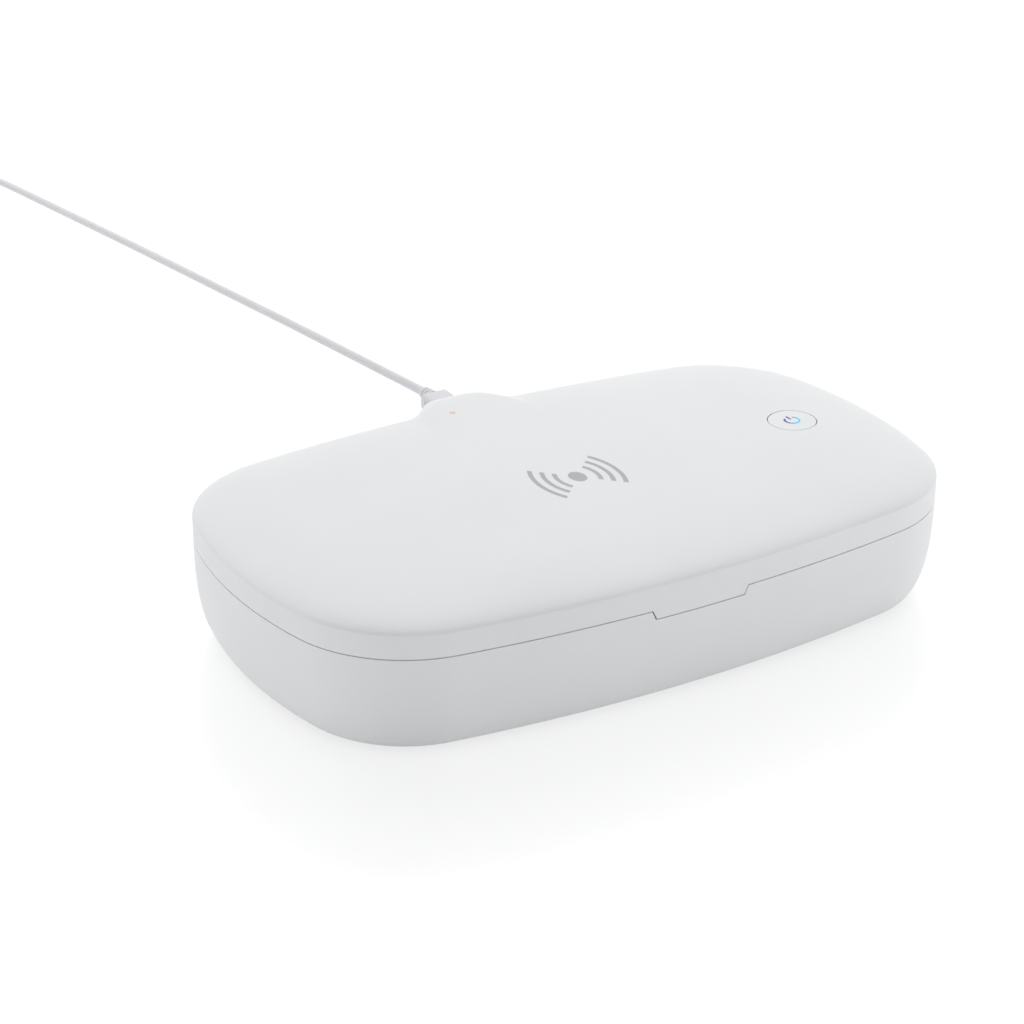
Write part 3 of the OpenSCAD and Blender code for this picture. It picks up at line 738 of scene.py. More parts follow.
def rounded_block(
    name: str, low: Vector, high: Vector, along: Vector, radius: float, steps: int = 5
) -> Piece:
    """Makes a block whose edges along one direction are rounded.

    Args:
        name: The piece's name.
        low: Lowest corner, in drawn millimetres.
        high: Highest corner.
        along: Direction of the rounded edges.
        radius: Their radius.
        steps: Steps of the rounding.

    Returns:
        The block.
    """
    piece = block(name, place(*((low + high) / 2)), (high - low) * MM)
    with editing(piece):
        pick(Element.EDGES, lambda _, way: abs(way.dot(along)) > 0.9)
        bpy.ops.mesh.bevel(offset=radius * MM, segments=steps)
    return piece


def turn_up() -> None:
    """Turns every face of the open flat piece upwards."""
    bpy.ops.mesh.select_all(action="SELECT")
    bpy.ops.mesh.normals_make_consistent(inside=False)
    mesh = bmesh.from_edit_mesh(bpy.context.edit_object.data)
    if any(face.normal.z < 0 for face in mesh.faces):
        pick(Element.FACES, lambda _, way: way.z < 0)
        bpy.ops.mesh.flip_normals()


def spin_band(centre: Vector, start: float, turn: float, inner: float, outer: float, steps: int) -> None:
    """Spins a short radial line into a flat band, in the open piece.

    Args:
        centre: The centre, in metres.
        start: Where the line points, in radians.
        turn: How far it is spun anticlockwise, in degrees.
        inner: The band's inner radius, in millimetres.
        outer: Its outer radius.
        steps: Steps of the spin.
    """
    way = Vector((math.cos(start), math.sin(start), 0))
    bpy.ops.mesh.select_mode(type=Element.POINTS.value)
    bpy.ops.mesh.select_all(action="DESELECT")
    bpy.ops.mesh.primitive_plane_add(size=0.05 * MM, location=centre + way * inner * MM)
    bpy.ops.mesh.merge(type="CENTER")
    pull(*(way * (outer - inner) * MM))
    bpy.ops.mesh.select_linked()
    bpy.ops.mesh.spin(steps=steps, angle=-math.radians(turn), center=centre, axis=(0, 0, 1))


@dataclass(frozen=True)
class Ring:
    """One closed ring of the plan, with its share of the rear housing's swell and rise."""

    inset: float
    z: float
    swell: float = 0.0
    slim: float = 0.0
    rise: float = 0.0
    ceiling: float = 100.0


@dataclass(frozen=True)
class Outline:
    """The plan of the box: a rounded rectangle of tangent arcs."""

    half_l: float = 107.5
    half_w: float = 65.2
    side_r: float = 484.0
    end_r: float = 137.0
    corner_r: float = 38.0
    tab_half: float = 15.7
    fine_half: float = 25.0
    housing_out: float = 7.4
    housing_top: float = 5.0
    housing_foot: float = 17.0
    rise: float = 2.4
    rise_top: float = 8.5
    rise_foot: float = 19.3
    storey: float = 60.0

    def corner(self) -> tuple[float, float]:
        """Finds the centre of a corner's arc, where it is tangent to a side and an end.

        Returns:
            Its x and y.
        """
        side_y, end_x = self.half_w - self.side_r, self.half_l - self.end_r
        near, far = self.side_r - self.corner_r, self.end_r - self.corner_r
        reach = math.hypot(end_x, side_y)
        ux, uy = end_x / reach, -side_y / reach
        part = (near**2 - far**2 + reach**2) / (2 * reach)
        rise = math.sqrt(near**2 - part**2)
        spots = [(part * ux - s * rise * uy, side_y + part * uy + s * rise * ux) for s in (1, -1)]
        return max(spots, key=sum)

    def arcs(self) -> list[tuple[float, float, float, int]]:
        """Lists the arcs of one round, from the right end, anticlockwise.

        Returns:
            Each arc's centre, its angle in degrees and its steps.
        """
        side_y, end_x = self.half_w - self.side_r, self.half_l - self.end_r
        cx, cy = self.corner()
        end = math.degrees(math.atan2(cy, cx - end_x))
        side = math.degrees(math.atan2(cy - side_y, cx))
        fine = math.degrees(math.asin(self.fine_half / self.side_r))
        tab = math.degrees(math.asin(self.tab_half / self.side_r))
        beside_housing = (0, side_y, 90 - side - fine, 8)
        beside_tab = (0, -side_y, 90 - side - tab, 10)
        turn = side - end
        return [
            (end_x, 0, end, 6),
            (cx, cy, turn, 28),
            beside_housing,
            (0, side_y, 2 * fine, 44),
            beside_housing,
            (-cx, cy, turn, 28),
            (-end_x, 0, 2 * end, 12),
            (-cx, -cy, turn, 28),
            beside_tab,
            (0, -side_y, 2 * tab, 14),
            beside_tab,
            (cx, -cy, turn, 28),
            (end_x, 0, end, 6),
        ]

    def trace(self, ring: Ring, lift: float) -> str:
        """Spins one ring of the plan in the open piece, and keeps it as a group.

        Args:
            ring: Where the ring lies.
            lift: How far over its place it is drawn.

        Returns:
            The group's name.
        """
        z = ring.z + lift
        bpy.ops.mesh.select_mode(type=Element.POINTS.value)
        bpy.ops.mesh.select_all(action="DESELECT")
        bpy.ops.mesh.primitive_plane_add(size=0.2 * MM, location=place(self.half_l - ring.inset, 0, z))
        bpy.ops.mesh.merge(type="CENTER")
        for x, y, degrees, steps in self.arcs():
            turn = -math.radians(degrees)
            bpy.ops.mesh.spin(steps=steps, angle=turn, center=place(x, y, z), axis=(0, 0, 1))
        bpy.ops.mesh.select_linked()
        bpy.ops.mesh.remove_doubles(threshold=0.005 * MM)
        bpy.ops.object.vertex_group_assign_new()
        return bpy.context.edit_object.vertex_groups[-1].name

    def share(self, x: float, top: float, foot: float) -> float:
        """Gives a hump's profile along the back edge.

        Args:
            x: Distance from the middle, along the edge.
            top: Half width of its flat top.
            foot: Half width of its foot.

        Returns:
            From 0, beside the hump, to 1, on its top.
        """
        if abs(x) <= top:
            return 1.0
        if abs(x) >= foot:
            return 0.0
        return 0.5 + 0.5 * math.cos(math.pi * (abs(x) - top) / (foot - top))

    def skin(
        self, name: str, rings: Sequence[Ring], close: tuple[bool, bool] = (True, True)
    ) -> Piece:
        """Builds a skin over a stack of rings.

        Args:
            name: The piece's name.
            rings: The rings, in order.
            close: Whether the first and the last ring are filled.

        Returns:
            The piece, with its faces outwards.
        """
        piece = begin(name, Primitive.PLANE, size=0.2 * MM)
        with editing(piece):
            bpy.ops.mesh.delete(type="VERT")
            # rings in one plane bridge wrongly, so they are drawn in a tall stack and lowered later
            names = [self.trace(ring, floor * self.storey) for floor, ring in enumerate(rings)]
            for pair in zip(names, names[1:]):
                self.select_rings(piece, pair)
                bpy.ops.mesh.bridge_edge_loops()
            for group, wanted in zip((names[0], names[-1]), close):
                if wanted:
                    self.select_rings(piece, (group,))
                    bpy.ops.mesh.edge_face_add()
            for floor, group in enumerate(names):
                self.select_rings(piece, (group,))
                bpy.ops.transform.translate(value=(0, 0, -floor * self.storey * MM))
            bpy.ops.mesh.select_all(action="SELECT")
            bpy.ops.mesh.normals_make_consistent(inside=False)
        if any(ring.swell for ring in rings):
            self.swell(piece, dict(zip(names, rings)))
        return piece

    def select_rings(self, piece: Piece, names: Sequence[str]) -> None:
        """Selects the points of some rings.

        Args:
            piece: The open piece.
            names: The rings' groups.
        """
        bpy.ops.mesh.select_mode(type=Element.POINTS.value)
        bpy.ops.mesh.select_all(action="DESELECT")
        for name in names:
            piece.vertex_groups.active_index = piece.vertex_groups[name].index
            bpy.ops.object.vertex_group_select()

    def swell(self, piece: Piece, rings: dict[str, Ring]) -> None:
        """Swells the back of the piece out to the rear housing, and lifts its top over it.

        Args:
            piece: The piece.
            rings: Its rings by their groups.
        """
        by_index = {piece.vertex_groups[name].index: ring for name, ring in rings.items()}
        for name in ("housing_out", "housing_up"):
            piece.vertex_groups.new(name=name)
        out, up = (piece.vertex_groups[name] for name in ("housing_out", "housing_up"))
        for point in piece.data.vertices:
            ring = next((by_index[g.group] for g in point.groups if g.group in by_index), None)
            at = drawn(point.co)
            if ring and ring.swell and at.y > self.half_w / 2:
                wide = self.share(at.x, self.housing_top - ring.slim, self.housing_foot - ring.slim)
                high = self.share(at.x, self.rise_top - ring.slim, self.rise_foot - ring.slim)
                lift = min(self.rise * high * ring.rise, ring.ceiling - at.z)
                out.add([point.index], ring.swell * wide, "REPLACE")
                up.add([point.index], max(0.0, lift) / self.rise, "REPLACE")
        for way, group, reach in (("Y", "housing_out", self.housing_out), ("Z", "housing_up", self.rise)):
            modify(
                piece, "DISPLACE", direction=way, mid_level=0.0, strength=reach * MM, vertex_group=group
            )


@dataclass
class LidAssembly:
    """The lid: shell, tab, rear housing, and what its inside shows when it is open."""

    outline: Outline = field(default_factory=Outline)
    seam_z: float = 30.2
    crease_z: float = 36.7
    top_z: float = 40.98
    wall: float = 2.2
    skin_z: float = 38.9
    dome_w: float = 28.0
    fade: float = 1.8
    rise_turn: float = 1.46
    tab_h: float = 2.7
    tab_foot: float = 14.3
    button_x: float = 77.8
    button_hole_r: float = 7.6
    indicator: tuple[float, float] = (-7.5, 55.5)
    indicator_r: float = 0.9
    port_low: Triple = (-4.2, 62, 33.55)
    port_high: Triple = (4.2, 76, 36.45)
    floor_front: float = 62.9
    floor_half: float = 16.6
    panel_z: float = 31.5
    window_x: float = 50.0
    window_y: float = 20.0
    window_r: float = 4.85
    well_r: float = 4.0
    screw_x: float = 82.0
    screw_y: float = 38.0
    screw_head_r: float = 2.0
    screw_head: float = 0.7

    def dome(
        self, edge: float, low: float, high: float, flat: float, slim: float, steps: Sequence[int]
    ) -> list[Ring]:
        """Lists the rings of the rounded top, a quarter of a flat ellipse.

        Args:
            edge: Inset at its edge.
            low: Height of its edge.
            high: Height of its flat middle.
            flat: Inset where the flat middle begins.
            slim: How much narrower the housing is there.
            steps: Angles of the rings, in degrees.

        Returns:
            The rings, from the edge up.
        """
        turns = [math.radians(s) for s in steps]
        return [
            Ring(
                edge + (flat - edge) * (1 - math.cos(t)),
                low + (high - low) * math.sin(t),
                max(math.cos(t), 1e-4) ** self.fade,
                slim,
                math.sin(self.rise_turn * t),
                high,
            )
            for t in turns
        ]

    def shell(self) -> Piece:
        """Builds the lid's shell from its outer and inner rings.

        Returns:
            The shell.
        """
        outer = [Ring(0, self.seam_z, 1), Ring(0, self.seam_z + 3, 1)]
        turns = (0, 7, 14, 21, 28, 35, 43, 51, 60, 70, 80, 90)
        outer += self.dome(0, self.crease_z, self.top_z, self.dome_w, 0, turns)
        slim = self.wall
        inner = [Ring(slim, self.seam_z, 1, slim)]
        turns = (0, 20, 40, 60, 90)
        inner += self.dome(slim, self.crease_z - 1.5, self.skin_z, self.dome_w + 0.44, slim, turns)
        piece = self.outline.skin("lid_cover", [*reversed(outer), *inner])
        with editing(piece):
            tab_half = self.outline.tab_half
            pick(
                Element.FACES,
                lambda at, _: at.z < self.seam_z + 0.01 and at.y < -60 and abs(at.x) < tab_half,
            )
            pull(z=-self.tab_h * MM)
            bpy.ops.transform.resize(value=(self.tab_foot / tab_half, 1, 1), center_override=place(0, 0, 0))
        drill(piece, self.button_x, 0, 40, self.button_hole_r, 8, 96)
        drill(piece, *self.indicator, 40, self.indicator_r + 0.02, 8, 32)
        cut(piece, rounded_block("tool", Vector(self.port_low), Vector(self.port_high), BACKWARDS, 1.0))
        soften(piece, 0.22)
        return settle(piece, SHELL, Body.LID, ["lid_shell"])

    def housing_floor(self) -> Piece:
        """Builds the plate that closes the rear housing from below.

        Returns:
            The plate.
        """
        rings = [Ring(1.1, self.seam_z + up, 1, 1.1) for up in (0.2, 1.3)]
        piece = self.outline.skin("housing_floor", rings)
        half = self.floor_half
        front = ((0, self.floor_front, 0), -BACKWARDS)
        sides = (front, ((half, 0, 0), SIDEWAYS), ((-half, 0, 0), -SIDEWAYS))
        with editing(piece):
            for spot, way in sides:
                bpy.ops.mesh.select_all(action="SELECT")
                bpy.ops.mesh.bisect(plane_co=place(*spot), plane_no=way, clear_outer=True, use_fill=True)
        soften(piece, 0.15)
        return settle(piece, SHELL, Body.LID)

    def panel(self) -> Piece:
        """Builds the panel inside the lid, with its groove, windows and screw seats.

        Returns:
            The panel.
        """
        z = self.seam_z
        edge = self.wall + 0.15
        rings = [
            Ring(edge, self.panel_z),
            Ring(edge, z + 0.3),
            Ring(edge + 0.1, z + 0.09),
            Ring(edge + 0.3, z),
            Ring(7.0, z),
            Ring(7.3, z + 0.3),
            Ring(8.7, z + 0.3),
            Ring(9.0, z),
        ]
        piece = self.outline.skin("lid_panel", rings)
        for sx in (-1, 1):
            for sy in (-1, 1):
                drill(piece, sx * self.window_x, sy * self.window_y, z, self.well_r, 6, 64)
                drill(piece, sx * self.screw_x, sy * self.screw_y, z - 0.2, self.screw_head_r + 0.1, 2, 48)
        soften(piece, 0.2, angle=60)
        return settle(piece, PANEL, Body.LID, ["lid_liner"])

    def windows(self) -> None:
        """Builds one quartz window and copies it over each light source."""
        low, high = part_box("uv_window_fl")
        first = disc("window_fl", middle_of("uv_window_fl"), self.window_r, (high - low).z, 64)
        soften(first, 0.15)
        repeat(first, "window", "uv_window", QUARTZ, Body.LID)

    def lamps(self) -> None:
        """Builds one light source, a ceramic tray with a gold-edged die, and copies it."""
        low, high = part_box("uv_lamp_fl")
        middle = middle_of("uv_lamp_fl")
        first = block("lamp_fl", middle, high - low)
        with editing(first):
            pick(Element.FACES, lambda _, way: way.z < -0.9)
            for thickness, depth in ((0.4, 0), (0.1, -0.3), (0.65, 0), (0.02, 0.15)):
                bpy.ops.mesh.inset(thickness=thickness * MM, depth=depth * MM)
        first.data.materials.append(CERAMIC.make())
        first.data.materials.append(GOLD.make())
        with editing(first):
            pick(Element.FACES, lambda at, way: way.z < -0.9 and (at - drawn(middle)).xy.length < 0.1)
            first.active_material_index = 1
            bpy.ops.object.material_slot_assign()
        repeat(first, "lamp", "uv_lamp", CERAMIC, Body.LID)

    def screws(self) -> None:
        """Builds one panel screw with a cross recess and copies it."""
        low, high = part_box("lid_screw_fl")
        x, y, _ = middle_of("lid_screw_fl")
        tall = self.screw_head * MM
        head = Vector((x, y, low.z + tall / 2))
        first = disc("panel_screw_fl", head, self.screw_head_r, tall, 40)
        with editing(first):
            pick(Element.FACES, lambda _, way: way.z > 0.9)
            bpy.ops.mesh.inset(thickness=1.1 * MM, depth=0)
            pull(z=high.z - low.z - tall)
        for size in ((2.2, 0.5, 0.9), (0.5, 2.2, 0.9)):
            cut(first, block("tool", Vector((x, y, low.z)), Vector(size) * MM))
        soften(first, 0.08)
        repeat(first, "panel_screw", "lid_screw", ZINC, Body.LID)

    def indicator_lens(self) -> Piece:
        """Builds the small round light pipe of the charging indicator.

        Returns:
            The light pipe.
        """
        low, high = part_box("indicator_lens")
        piece = disc("indicator_pipe", middle_of("indicator_lens"), self.indicator_r, high.z - low.z, 32)
        with editing(piece):
            pick(Element.EDGES, lambda at, _: at.z > high.z / MM - 0.01)
            bpy.ops.mesh.bevel(offset=0.3 * MM, segments=4)
        return settle(piece, AMBER, Body.LID, ["indicator_lens"])

    def build(self) -> None:
        """Builds all of the lid."""
        self.shell()
        self.housing_floor()
        self.panel()
        self.windows()
        self.lamps()
        self.screws()
        self.indicator_lens()


@dataclass(frozen=True)
class Knuckle:
    """One knuckle of the hinge: a bored barrel on its foot."""

    name: str
    body: Body
    x: float
    half: float
    foot_y: tuple[float, float]
    foot_z: tuple[float, float]
    hinge_y: float = 69.0
    hinge_z: float = 26.45
    radius: float = 3.3
    bore: float = 1.22

    def bar(self, name: str, radius: float, length: float) -> Piece:
        """Adds a round bar along the hinge.

        Args:
            name: Its name.
            radius: Its radius.
            length: Its length.

        Returns:
            The bar.
        """
        return begin(
            name,
            Primitive.CYLINDER,
            vertices=56,
            radius=radius * MM,
            depth=length * MM,
            location=place(self.x, self.hinge_y, self.hinge_z),
            rotation=(0, math.pi / 2, 0),
        )

    def build(self) -> None:
        """Builds the knuckle: its barrel with broken edges, its foot and its bore."""
        piece = self.bar(self.name, self.radius, 2 * self.half)
        with editing(piece):
            pick(Element.EDGES, lambda at, _: abs(abs(at.x - self.x) - self.half) < 0.01)
            bpy.ops.mesh.bevel(offset=0.25 * MM, segments=3)
        low = Vector((self.x - self.half + 0.25, self.foot_y[0], self.foot_z[0]))
        high = Vector((self.x + self.half - 0.25, self.foot_y[1], self.foot_z[1]))
        cut(piece, rounded_block("tool", low, high, UP, 0.3, 3), "UNION")
        cut(piece, self.bar("tool", self.bore, 2 * self.half + 4))
        settle(piece, SHELL, self.body)


@dataclass
class Hinge:
    """The hinge's three knuckles: the lid's between the base's two."""

    knuckles: tuple[Knuckle, ...] = (
        Knuckle("lid_knuckle", Body.LID, 0.0, 8.9, (66.6, 72.28), (26.45, 30.8)),
        Knuckle("base_knuckle_l", Body.BASE, -11.7, 2.5, (64.0, 69.0), (23.17, 29.65)),
        Knuckle("base_knuckle_r", Body.BASE, 11.7, 2.5, (64.0, 69.0), (23.17, 29.65)),
    )

    def build(self) -> None:
        """Builds the knuckles."""
        for knuckle in self.knuckles:
            knuckle.build()


@dataclass
class ChargingMark:
    """The printed mark of the charging spot: a dot with three arcs on each side."""

    centre: tuple[float, float] = (0.4, -1.7)
    dot_half: float = 2.5
    first_r: float = 6.7
    step: float = 3.2
    line: float = 1.3
    half_angle: float = 37.0
    stretch: float = 1.36
    top_z: float = 41.0
    film: float = 0.05

    def build(self) -> Piece:
        """Builds the mark as a thin film of ink.

        Returns:
            The mark.
        """
        x, y = self.centre
        middle = place(x, y, self.top_z)
        low = place(x, y, self.top_z - self.film / 2)
        piece = disc("charging_mark", low, self.dot_half, self.film * MM, 64)
        with editing(piece):
            pick(Element.FACES, lambda _, way: way.z < 0.9)
            bpy.ops.mesh.delete(type="FACE")
            for number in range(3):
                outer = self.first_r + number * self.step
                for turn in (0, 180):
                    start = math.radians(turn - self.half_angle)
                    spin_band(middle, start, 2 * self.half_angle, outer - self.line, outer, 28)
            bpy.ops.mesh.select_all(action="SELECT")
            bpy.ops.transform.resize(value=(1, self.stretch, 1), center_override=middle)
            bpy.ops.mesh.remove_doubles(threshold=0.002 * MM)
            turn_up()
        modify(piece, "SOLIDIFY", thickness=self.film * MM, offset=-1.0)
        return settle(piece, INK, Body.LID, ["charge_mark"])


@dataclass
class PowerButton:
    """The round power button and its lit symbol."""

    x: float = 77.8
    radius: float = 7.35
    flange: float = 1.55
    flange_top: float = 38.6
    stem_r: float = 2.0
    stem_gap: float = 0.12
    top_z: float = 40.98
    symbol_z: float = 41.0
    symbol_r: float = 2.6
    line: float = 0.7
    gap: float = 70.0
    film: float = 0.05

    def cap(self) -> Piece:
        """Builds the cap with its flange and stem.

        Returns:
            The cap.
        """
        low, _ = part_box("power_button")
        stem_z = low.z / MM + self.stem_gap
        flange_z = stem_z + 0.7
        tall = self.top_z - self.flange_top
        middle = place(self.x, 0, (self.top_z + self.flange_top) / 2)
        piece = disc("button_cap", middle, self.radius, tall * MM, 96)
        with editing(piece):
            pick(Element.EDGES, lambda at, _: at.z > self.top_z - 0.01)
            bpy.ops.mesh.bevel(offset=0.3 * MM, segments=4)
            pick(Element.FACES, lambda _, way: way.z < -0.9)
            wide = 1 + self.flange / self.radius
            slim = self.stem_r / (self.radius + self.flange)
            pull()
            top = place(self.x, 0, self.flange_top)
            bpy.ops.transform.resize(value=(wide, wide, 1), center_override=top)
            pull(z=(flange_z - self.flange_top) * MM)
            pull()
            bpy.ops.transform.resize(value=(slim, slim, 1), center_override=place(self.x, 0, flange_z))
            pull(z=(stem_z - flange_z) * MM)
        return settle(piece, CAP, Body.BUTTON, ["power_button"])

    def symbol(self) -> Piece:
        """Builds the power symbol: a ring open at the back, and a bar in the opening.

        Returns:
            The symbol.
        """
        middle = place(self.x, 0, self.symbol_z)
        bar = place(self.x, 0.6 + self.symbol_r / 2, self.symbol_z)
        piece = begin("power_symbol", Primitive.PLANE, size=MM, location=bar)
        with editing(piece):
            bpy.ops.mesh.select_all(action="SELECT")
            bpy.ops.transform.resize(value=(self.line, self.symbol_r, 1), center_override=bar)
            bpy.ops.mesh.bevel(offset=0.475 * self.line * MM, segments=5, affect="VERTICES")
            start = math.radians(90 + self.gap / 2)
            spin_band(middle, start, 360 - self.gap, self.symbol_r - self.line, self.symbol_r, 48)
            bpy.ops.mesh.select_all(action="SELECT")
            bpy.ops.mesh.remove_doubles(threshold=0.002 * MM)
            turn_up()
        modify(piece, "SOLIDIFY", thickness=self.film * MM, offset=-1.0)
        return settle(piece, SYMBOL, Body.BUTTON, ["button_symbol"])

    def build(self) -> None:
        """Builds the button and its symbol."""
        self.cap()
        self.symbol()


@dataclass
class BaseAssembly:
    """The base: shell, metallised tray, ribs, pads and feet."""

    outline: Outline = field(default_factory=Outline)
    low_z: float = 0.8
    edge_z: float = 29.9
    inner_z: float = 3.2
    wall: float = 2.2
    tuck: float = 7.0
    tuck_power: float = 2.6
    notch_low: Triple = (-16.0, -67.2, 27.2)
    notch_high: Triple = (16.0, -61.8, 30.2)
    notch_foot: float = 14.6
    foot_x: float = 76.0
    foot_y: float = 36.0
    foot_r: float = 5.0
    deck_z: float = 29.55
    mouth: float = 1.3
    rib_low: Triple = (-57, -31, 7.3)
    rib_high: Triple = (-55, 31, 9.6)
    rib_step: float = 28.0
    pad_r: float = 2.5

    def drawn_in(self, depth: float) -> float:
        """Gives how far the wall draws in at a depth from 0, its edge, to 1, the underside."""
        return self.tuck * (1 - math.sqrt(max(0.0, 1 - depth**self.tuck_power)))

    def shell(self) -> Piece:
        """Builds the base's shell with the notch for the tab and the feet's pockets.

        Returns:
            The shell.
        """
        height = self.edge_z - self.low_z
        depths = (1, 0.997, 0.988, 0.972, 0.95, 0.92, 0.88, 0.83, 0.77, 0.7, 0.61, 0.5, 0.36, 0.2, 0)
        outer = [Ring(self.drawn_in(d), self.edge_z - height * d) for d in depths]
        inside = (0, 0.36, 0.61, 0.77, 0.88)
        inner = [Ring(self.drawn_in(d) + self.wall, self.edge_z - height * d) for d in inside]
        inner.append(Ring(self.drawn_in((self.edge_z - self.inner_z) / height) + self.wall, self.inner_z))
        piece = self.outline.skin("base_cover", [*outer, *inner])
        low, high = Vector(self.notch_low), Vector(self.notch_high)
        notch = block("tool", place(*((low + high) / 2)), (high - low) * MM)
        with editing(notch):
            pick(Element.FACES, lambda _, way: way.z < -0.9)
            bpy.ops.transform.resize(value=(self.notch_foot / high.x, 1, 1), center_override=place(0, 0, 0))
            pick(Element.FACES, lambda _, way: way.z > 0.9)
            pull(z=2 * MM)
        cut(piece, notch)
        for sx in (-1, 1):
            for sy in (-1, 1):
                drill(piece, sx * self.foot_x, sy * self.foot_y, self.low_z, self.foot_r + 0.2, 2, 64)
        soften(piece, 0.2)
        return settle(piece, SHELL, Body.BASE, ["base_shell"])

    def tray(self) -> Piece:
        """Builds the tray: a deck, a rounded mouth, sloping walls and a filleted floor.

        Returns:
            The tray.
        """
        deck, mouth = self.deck_z, self.mouth
        edge = ((2.7, deck - 0.25), (2.78, deck - 0.07), (2.95, deck), (6.0, deck))
        bends = (0, 0.3, 0.6, 0.9, 1.2, 1.5)
        lip = [(9.7 + mouth * math.sin(t), deck - mouth * (1 - math.cos(t))) for t in bends]
        wall = ((11.4, 24.0), (11.9, 17.5), (12.35, 11.2), (12.62, 9.9), (13.1, 8.85), (13.8, 8.05))
        floor = ((14.7, 7.58), (15.8, 7.4), (20.0, 7.4))
        rings = [Ring(inset, z) for inset, z in (*edge, *lip, *wall, *floor)]
        piece = self.outline.skin("tray", rings, (False, True))
        with editing(piece):
            bpy.ops.mesh.select_all(action="SELECT")
            bpy.ops.mesh.normals_make_consistent(inside=False)
            mesh = bmesh.from_edit_mesh(piece.data)
            if max(mesh.faces, key=lambda face: face.calc_area()).normal.z < 0:
                bpy.ops.mesh.flip_normals()
        modify(piece, "SOLIDIFY", thickness=1.2 * MM, offset=-1.0)
        return settle(piece, TRAY, Body.BASE, ["base_liner"], smooth=50)

    def ribs(self) -> Piece:
        """Builds the ribs that carry the phone.

        Returns:
            The ribs.
        """
        low, high = Vector(self.rib_low), Vector(self.rib_high)
        piece = rounded_block("phone_ribs", low, high, UP, 0.95, 6)
        with editing(piece):
            pick(Element.EDGES, lambda at, _: at.z > high.z - 0.01)
            bpy.ops.mesh.bevel(offset=0.5 * MM, segments=4)
            bpy.ops.mesh.select_all(action="SELECT")
            for _ in range(4):
                bpy.ops.mesh.duplicate_move(TRANSFORM_OT_translate={"value": SIDEWAYS * self.rib_step * MM})
        return settle(piece, TRAY, Body.BASE)

    def pads(self) -> None:
        """Builds one clear rest pad with a domed top and copies it."""
        low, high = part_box("rest_pad_l")
        first = disc("bumper_l", middle_of("rest_pad_l"), self.pad_r, high.z - low.z, 48)
        with editing(first):
            pick(Element.EDGES, lambda at, _: at.z > high.z / MM - 0.01)
            bpy.ops.mesh.bevel(offset=0.5 * MM, segments=5)
        repeat(first, "bumper", "rest_pad", PAD, Body.BASE, ("l", "r"))

    def feet(self) -> None:
        """Builds one rubber foot, with a ring groove in its sole, and copies it."""
        low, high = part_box("foot_fl")
        first = disc("sole_fl", middle_of("foot_fl"), self.foot_r, high.z - low.z, 64)
        spot = Vector((-self.foot_x, -self.foot_y, 0))
        with editing(first):
            pick(Element.FACES, lambda _, way: way.z < -0.9)
            for thickness, depth in ((1.4, 0), (0.2, -0.3), (0.7, 0), (0.2, 0.3)):
                bpy.ops.mesh.inset(thickness=thickness * MM, depth=depth * MM)
            pick(
                Element.EDGES,
                lambda at, _: at.z < 0.01 and abs((at - spot).xy.length - self.foot_r) < 0.1,
            )
            bpy.ops.mesh.bevel(offset=0.35 * MM, segments=4)
        repeat(first, "sole", "foot", FOOT, Body.BASE)

    def build(self) -> None:
        """Builds all of the base."""
        self.shell()
        self.tray()
        self.ribs()
        self.pads()
        self.feet()


